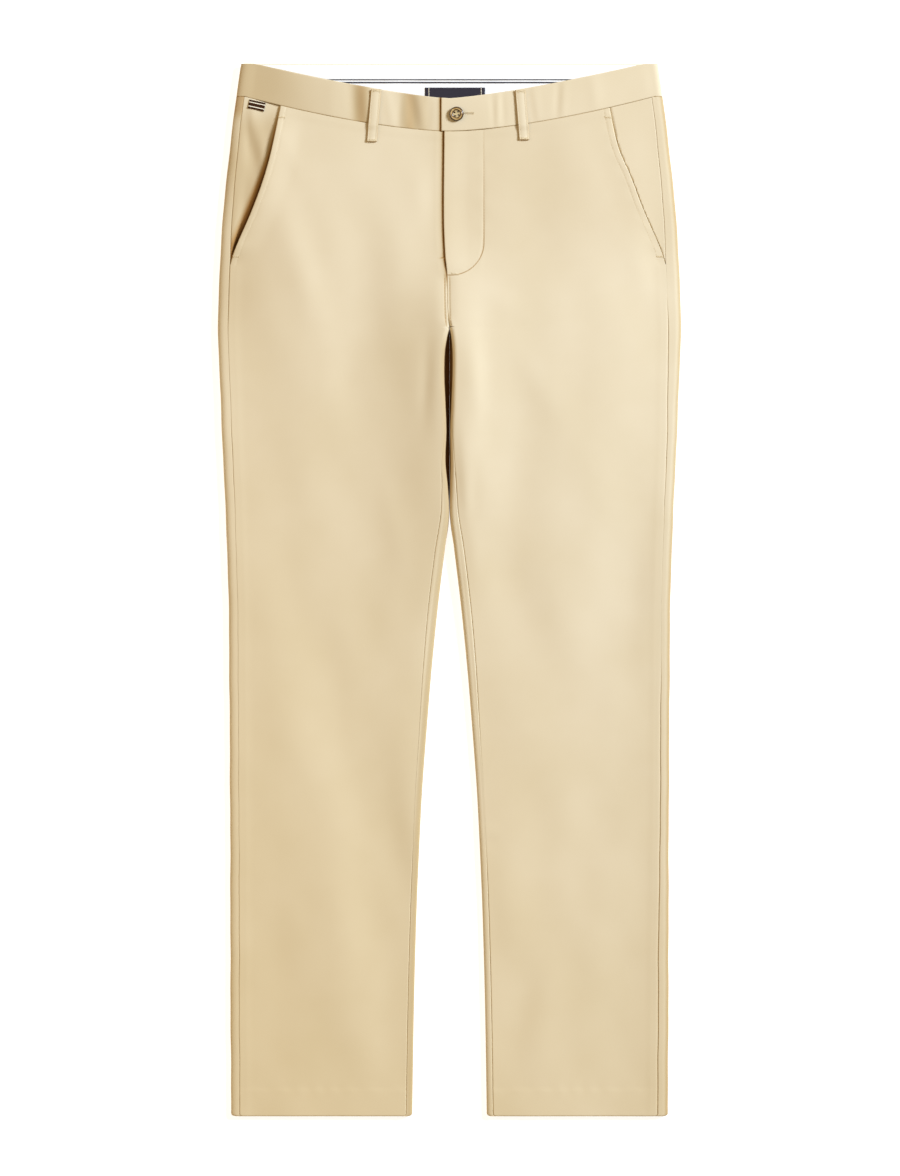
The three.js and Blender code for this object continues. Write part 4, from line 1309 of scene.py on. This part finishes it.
def front_loop(name, loop):
    across, share = np.meshgrid(LOOP_ACROSS, LOOP_DOWN)
    x, down, height = loop_surface(loop, share, across)
    edge = np.minimum(0.5 - np.abs(across), np.minimum(share, 1 - share) * 4) * LOOP_WIDTH
    inner = at(x, down, height - LOOP_CLOTH - turned_edge(edge, 0.8) * 1.2)
    deep = SHADE["loop edge"] * np.exp(-np.maximum(edge, 0) / 0.35)
    node = f"belt_loop_front_{name}"
    piece = shell(f"{node}_cloth", at(x, down, height), inner, -1, twill, deep)
    dress(piece, "twill", node)


def back_loop(name, x):
    """A loop under the back, its outer face on the surface."""
    top, end = BACK_LOOP_TOP, BACK_LOOP_END
    across = x + LOOP_WIDTH * np.linspace(-0.5, 0.5, 15)
    xs, downs = np.meshgrid(across, np.linspace(top, end, 40))
    edge = np.minimum(LOOP_WIDTH / 2 - np.abs(xs - x), np.minimum(downs - top, end - downs))
    soft = turned_edge(edge, 0.5)
    node = f"belt_loop_back_{name}"
    outer, inner = at(xs, downs, LOOP_CLOTH + soft), at(xs, downs, -soft)
    piece = shell(f"{node}_cloth", outer, inner, -1, twill)
    dress(piece, "twill", node)


for name, loop in FRONT_LOOPS.items():
    front_loop(name, loop)
for name, x in BACK_LOOPS.items():
    back_loop(name, x)


def side_tab():
    """The small folded tape at the right hip."""
    turn, width, tall, thickness = (TAB[key] for key in ("turn", "width", "height", "thickness"))
    cos, sin = cos_sin(turn)
    across, level = np.linspace(-0.5, 0.5, 29) * width, np.linspace(-0.5, 0.5, 17) * tall
    across, level = np.meshgrid(across, level)
    x = TAB["x"] + across * cos - level * sin
    down = TAB["down"] + across * sin + level * cos
    edge = np.minimum(width / 2 - np.abs(across), tall / 2 - level)
    rounding = turned_edge(edge, 0.5)
    lift = 0.35 * fade(tall / 2 - level, 0, 3) + rounding
    height = facing_height(RIGHT, -x, down) + LAYER_GAP + thickness + lift
    inner = at(x, down, height - thickness - rounding)
    piece = shell("side_tab_tape", at(x, down, height), inner, -1, tab_tape)
    set_uv(piece.data, across, LENGTH / 2 - (TAB["down"] + level))
    dress(piece, "tab", "side_tab")


side_tab()

# The waist button: how far in from its rim and how high each point of its section is
BUTTON_UNDERSIDE = ((7.4, 0), (1.6, 0), (0.9, 0.2), (0.35, 0.7), (0.05, 1.3), (0, 1.8))
BUTTON_RIM = ((0.15, 2.3), (0.5, 2.7), (0.9, 2.9), (1.25, 2.8), (1.5, 2.4), (1.9, 2.3))
BUTTON_DISH = ((2.3, 2.55), (2.7, 2.5), (3.1, 2.1), (3.6, 1.9), (4.4, 1.8), (7.4, 1.8))
BUTTON_SEAT = float(band_height(LEFT, np.array(BUTTON["x"]), np.array(BUTTON["down"]))) + 0.75
BUTTON_Y = LENGTH / 2 - BUTTON["down"]
HOLES = [(a * HOLE_OUT, b * HOLE_OUT) for a in (-1, 1) for b in (-1, 1)]


def waist_button():
    """Turned, with its four holes cut through."""
    mesh = bmesh.new()
    section = BUTTON_UNDERSIDE + BUTTON_RIM + BUTTON_DISH
    points = [mesh.verts.new((BUTTON["radius"] - inset, 0, height)) for inset, height in section]
    edges = [mesh.edges.new(pair) for pair in zip(points, points[1:])]
    turn = {"axis": (0, 0, 1), "angle": math.tau, "steps": 64, "use_duplicate": False}
    bmesh.ops.spin(mesh, geom=[*points, *edges], **turn)
    bmesh.ops.remove_doubles(mesh, verts=mesh.verts, dist=1e-4)
    bmesh.ops.recalc_face_normals(mesh, faces=mesh.faces)
    data = bpy.data.meshes.new("waist_button_horn")
    mesh.to_mesh(data)
    mesh.free()
    body = add_object("waist_button_horn", data)
    drill = bmesh.new()
    size = {"radius1": HOLE_RADIUS, "radius2": HOLE_RADIUS, "depth": BUTTON["thickness"] * 3}
    for x, y in HOLES:
        place = Matrix.Translation((x, y, BUTTON["thickness"] / 2))
        bmesh.ops.create_cone(drill, cap_ends=True, segments=20, matrix=place, **size)
    drill_data = bpy.data.meshes.new("drill")
    drill.to_mesh(drill_data)
    drill.free()
    drill_piece = add_object("drill", drill_data)
    cut = body.modifiers.new("holes", "BOOLEAN")
    cut.object = drill_piece
    cut.operation = "DIFFERENCE"
    cut.solver = "EXACT"
    evaluated = body.evaluated_get(bpy.context.evaluated_depsgraph_get())
    made = bpy.data.meshes.new_from_object(evaluated)
    bpy.data.objects.remove(body)
    bpy.data.objects.remove(drill_piece)
    seat = Matrix.Translation((BUTTON["x"], BUTTON_Y, BUTTON_SEAT))
    turned = Matrix.Rotation(math.radians(BUTTON["turn"]), 4, "Z")
    made.transform(Matrix.Scale(MM, 4) @ seat @ turned)
    dress(finish_mesh("waist_button_resin", made, horn, 35), "button", "waist_button")


waist_button()


# Stitches
def stitch_tree():
    """Lays stitches end to end along a curve: each is a thin long bead, half sunk in the cloth."""
    tree = bpy.data.node_groups.new("stitches_along_curve", "GeometryNodeTree")
    sizes = (("Pitch", 0.003), ("Stitch length", 0.0024), ("Thread radius", 0.0003))
    socket = tree.interface.new_socket
    socket("Curve", in_out="INPUT", socket_type="NodeSocketGeometry")
    for name, value in sizes:
        socket(name, in_out="INPUT", socket_type="NodeSocketFloat").default_value = value
    socket("Thread", in_out="INPUT", socket_type="NodeSocketMaterial")
    socket("Stitches", in_out="OUTPUT", socket_type="NodeSocketGeometry")
    given = add_node(tree, "NodeGroupInput").outputs
    curve = {"Curve": given["Curve"], "Length": given["Pitch"]}
    even = add_node(tree, "GeometryNodeResampleCurve", curve, mode="LENGTH")
    places = add_node(tree, "GeometryNodeCurveToPoints", {"Curve": even}, mode="EVALUATED")
    bead = add_node(tree, "GeometryNodeMeshUVSphere", {"Segments": 6, "Rings": 5, "Radius": 1.0})
    halved = {0: given["Stitch length"], 1: 0.5}
    half = add_node(tree, "ShaderNodeMath", halved, operation="MULTIPLY")
    radius = given["Thread radius"]
    size = add_node(tree, "ShaderNodeCombineXYZ", {"X": radius, "Y": radius, "Z": half})
    copies = {
        "Points": places,
        "Instance": bead,
        "Rotation": places.outputs["Rotation"],
        "Scale": size,
    }
    laid = add_node(tree, "GeometryNodeInstanceOnPoints", copies)
    real = add_node(tree, "GeometryNodeRealizeInstances", {0: laid})
    thread = {"Geometry": real, "Material": given["Thread"]}
    stitches = add_node(tree, "GeometryNodeSetMaterial", thread)
    add_node(tree, "NodeGroupOutput", {"Stitches": stitches})
    return tree


STITCHES = stitch_tree()


def sew(name, lines, thread, slot, pitch, length, radius):
    """Stitches along some lines of points."""
    curve = bpy.data.curves.new(name, "CURVE")
    curve.dimensions = "3D"
    for line in lines:
        spline = curve.splines.new("POLY")
        spline.points.add(len(line) - 1)
        spline.points.foreach_set("co", np.insert(line * MM, 3, 1, axis=1).ravel())
    run = add_object(f"{name}_run", curve)
    modifier = run.modifiers.new("stitches", "NODES")
    modifier.node_group = STITCHES
    sizes = {"Pitch": pitch * MM, "Stitch length": length * MM, "Thread radius": radius * MM}
    values = {**sizes, "Thread": thread}
    for item in STITCHES.interface.items_tree:
        if item.in_out == "INPUT" and item.name in values:
            modifier[item.identifier] = values[item.name]
    bpy.context.view_layer.update()
    evaluated = run.evaluated_get(bpy.context.evaluated_depsgraph_get())
    made = bpy.data.meshes.new_from_object(evaluated)
    bpy.data.objects.remove(run)
    dress(finish_mesh(name, made, thread, 80), slot)


def on_front(side, x, down, sink=0.05):
    """Points laid on a front panel."""
    row = down
    for _ in range(12):
        row = row - (row_down(row, x) - down)
    edge = np.where(down < POCKET_BOTTOM, pocket_mouth(side, down), side_seam(side, down))
    return at(x, down, top_height(x, down) + front_relief(side, side * x, row, down, edge) - sink)


def on_button(x, y, height):
    """Points on the button, from their places on its turned face."""
    cos, sin = cos_sin(BUTTON["turn"])
    place = BUTTON["x"] + x * cos - y * sin, BUTTON_Y + x * sin + y * cos, height
    return np.stack(np.broadcast_arrays(*place), axis=-1)


def topstitching():
    lines = []
    for side in SIDES:
        downs = np.linspace(52, 203, 120)
        lines.append(on_front(side, side * (pocket_mouth(side, downs) - POCKET_STITCH), downs))
    lines.append(on_front(LEFT, *FLY_STITCH[2:].T))
    downs = np.linspace(222, 266, 40)
    for side in SIDES:
        x = along(CENTRE_FRONT, "x", downs) + side * FORK_STITCH
        lines.append(on_front(side, x, downs))
    sew("topstitching", lines, sand_thread, "twill", 3.0, 2.3, 0.26)
    share = np.linspace(0.06, 0.94, 50)
    places = [(loop, across) for loop in FRONT_LOOPS.values() for across in (-1, 1)]
    loops = [at(*loop_surface(loop, share, across * LOOP_STITCH)) for loop, across in places]
    sew("loop_topstitching", loops, sand_thread, "twill", 2.6, 2.0, 0.24)


def bar_tacks():
    """Short dense bars across pocket ends, loop ends and the bottom of the fly."""
    lines = []

    def bar(side, x, down, length, turn):
        count, width = int(length / 0.45), 1.6
        places, sway = np.linspace(-0.5, 0.5, count) * length, zigzag(count, width / 2)
        cos, sin = cos_sin(turn)
        line = x + places * cos - sway * sin, down + places * sin + sway * cos
        lines.append(on_front(side, *line, sink=-0.1))

    for side in SIDES:
        for down in (56, 200):
            bar(side, side * (float(pocket_mouth(side, down)) - 3.6), down, 6.5, 0)
    bar(LEFT, 6, 218.6, 8, 6)
    for loop in FRONT_LOOPS.values():
        for share in (0.03, 0.97):
            across = np.linspace(-0.4, 0.4, 20)
            lines.append(at(*loop_surface(loop, share + zigzag(20, 0.016), across)))
    sew("bar_tacks", lines, sand_thread, "twill", 1.0, 1.3, 0.22)


def buttonhole():
    """Purl stitches round the slit, beside the button, and a brown line in the slit as its painted
    shade.
    """
    start, end, down, count = 5, 24.6, 51.9, 52
    xs, sway = np.linspace(start, end, count), zigzag(count, 0.4)
    turn, reach = np.linspace(0, np.pi, 16), 0.85 + zigzag(16, 0.35)
    lines = [(xs, down + offset + sway) for offset in (-0.8, 0.8)]
    lines.append((end + reach * np.sin(turn), down - reach * np.cos(turn)))
    laid = [at(x, d, band_face(x, d) + 0.05) for x, d in lines]
    sew("buttonhole_stitching", laid, sand_thread, "twill", 0.62, 0.9, 0.18)
    # A brown line along the slit: the painted shade of the cut
    xs = np.linspace(start, end, 24)
    slit = at(xs, down, band_face(xs, down) + 0.02)
    sew("buttonhole_slit", [slit], slit_shade_thread, "twill", 0.5, 0.9, 0.22)


def trim_stitching():
    """Cream bars at the ends of the label, and the thread in the button's holes: strands across it,
    and thick ends in the holes drawn dark brown as a painted shade of the holes.
    """
    downs = np.linspace(26, 43, 12)
    bars = [at(x, downs, TRIM_LEVEL + TRIM_CLOTH + 0.1) for x in (-21.4, 32.8)]
    sew("label_stitching", bars, cream_thread, "label", 1.5, 1.6, 0.45)
    top = BUTTON_SEAT + BUTTON["thickness"] - 1.15
    ends = np.linspace(-1, 1, 7)
    height = top + 0.3 * (1 - ends**4) - 0.35 * np.abs(ends) ** 8
    rows = [b * HOLE_OUT + shift for b in (-1, 1) for shift in (-0.16, 0.16)]
    strands = [on_button(ends * (HOLE_OUT - 0.6), y, height) for y in rows]
    sew("button_thread", strands, sand_thread, "button", 0.6, 1.0, 0.13)
    # Thick dark thread ends fill the holes: the painted shade of the holes
    hole_shade_knots = [on_button(x, y, BUTTON_SEAT + np.array([0.2, 1.1])) for x, y in HOLES]
    sew("button_hole_shade_thread_ends", hole_shade_knots, hole_shade_thread, "button", 0.8, 1.0, 0.9)


topstitching()
bar_tacks()
buttonhole()
trim_stitching()

# Soft lights: name, place and size in metres, watts, colour
LIGHTS = (
    ("key", (3.95, 2.25, 2.95), 1.4, 462, "#DDECFF"),
    ("fill", (-2.6, 0.6, 1.9), 2.0, 22, "#FFE2BC"),
)


def studio():
    """A white floor, two soft lights and a warm room round them."""
    mesh = bmesh.new()
    bmesh.ops.create_grid(mesh, x_segments=8, y_segments=8, size=3)
    data = bpy.data.meshes.new("floor")
    mesh.to_mesh(data)
    mesh.free()
    data.transform(Matrix.Translation((0, 0, -0.0005)))
    data.materials.append(make_material("studio_board_white", painted_board))
    add_object("floor", data)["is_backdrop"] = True
    for name, place, size, power, colour in LIGHTS:
        light = bpy.data.lights.new(name, "AREA")
        light.shape = "SQUARE"
        light.size = size
        light.energy = power
        light.color = linear(colour)[:3]
        lamp = add_object(name, light)
        lamp.location = place
        lamp.rotation_euler = (-Vector(place)).to_track_quat("-Z", "Y").to_euler()
    world = bpy.data.worlds.new("studio")
    world.use_nodes = True
    back = world.node_tree.nodes["Background"]
    back.inputs["Color"].default_value = linear("#FFE6B8")
    back.inputs["Strength"].default_value = 0.36
    scene.world = world


studio()

box = [[list(map(float, corner)) for corner in b] for b in (cad_box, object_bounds())]
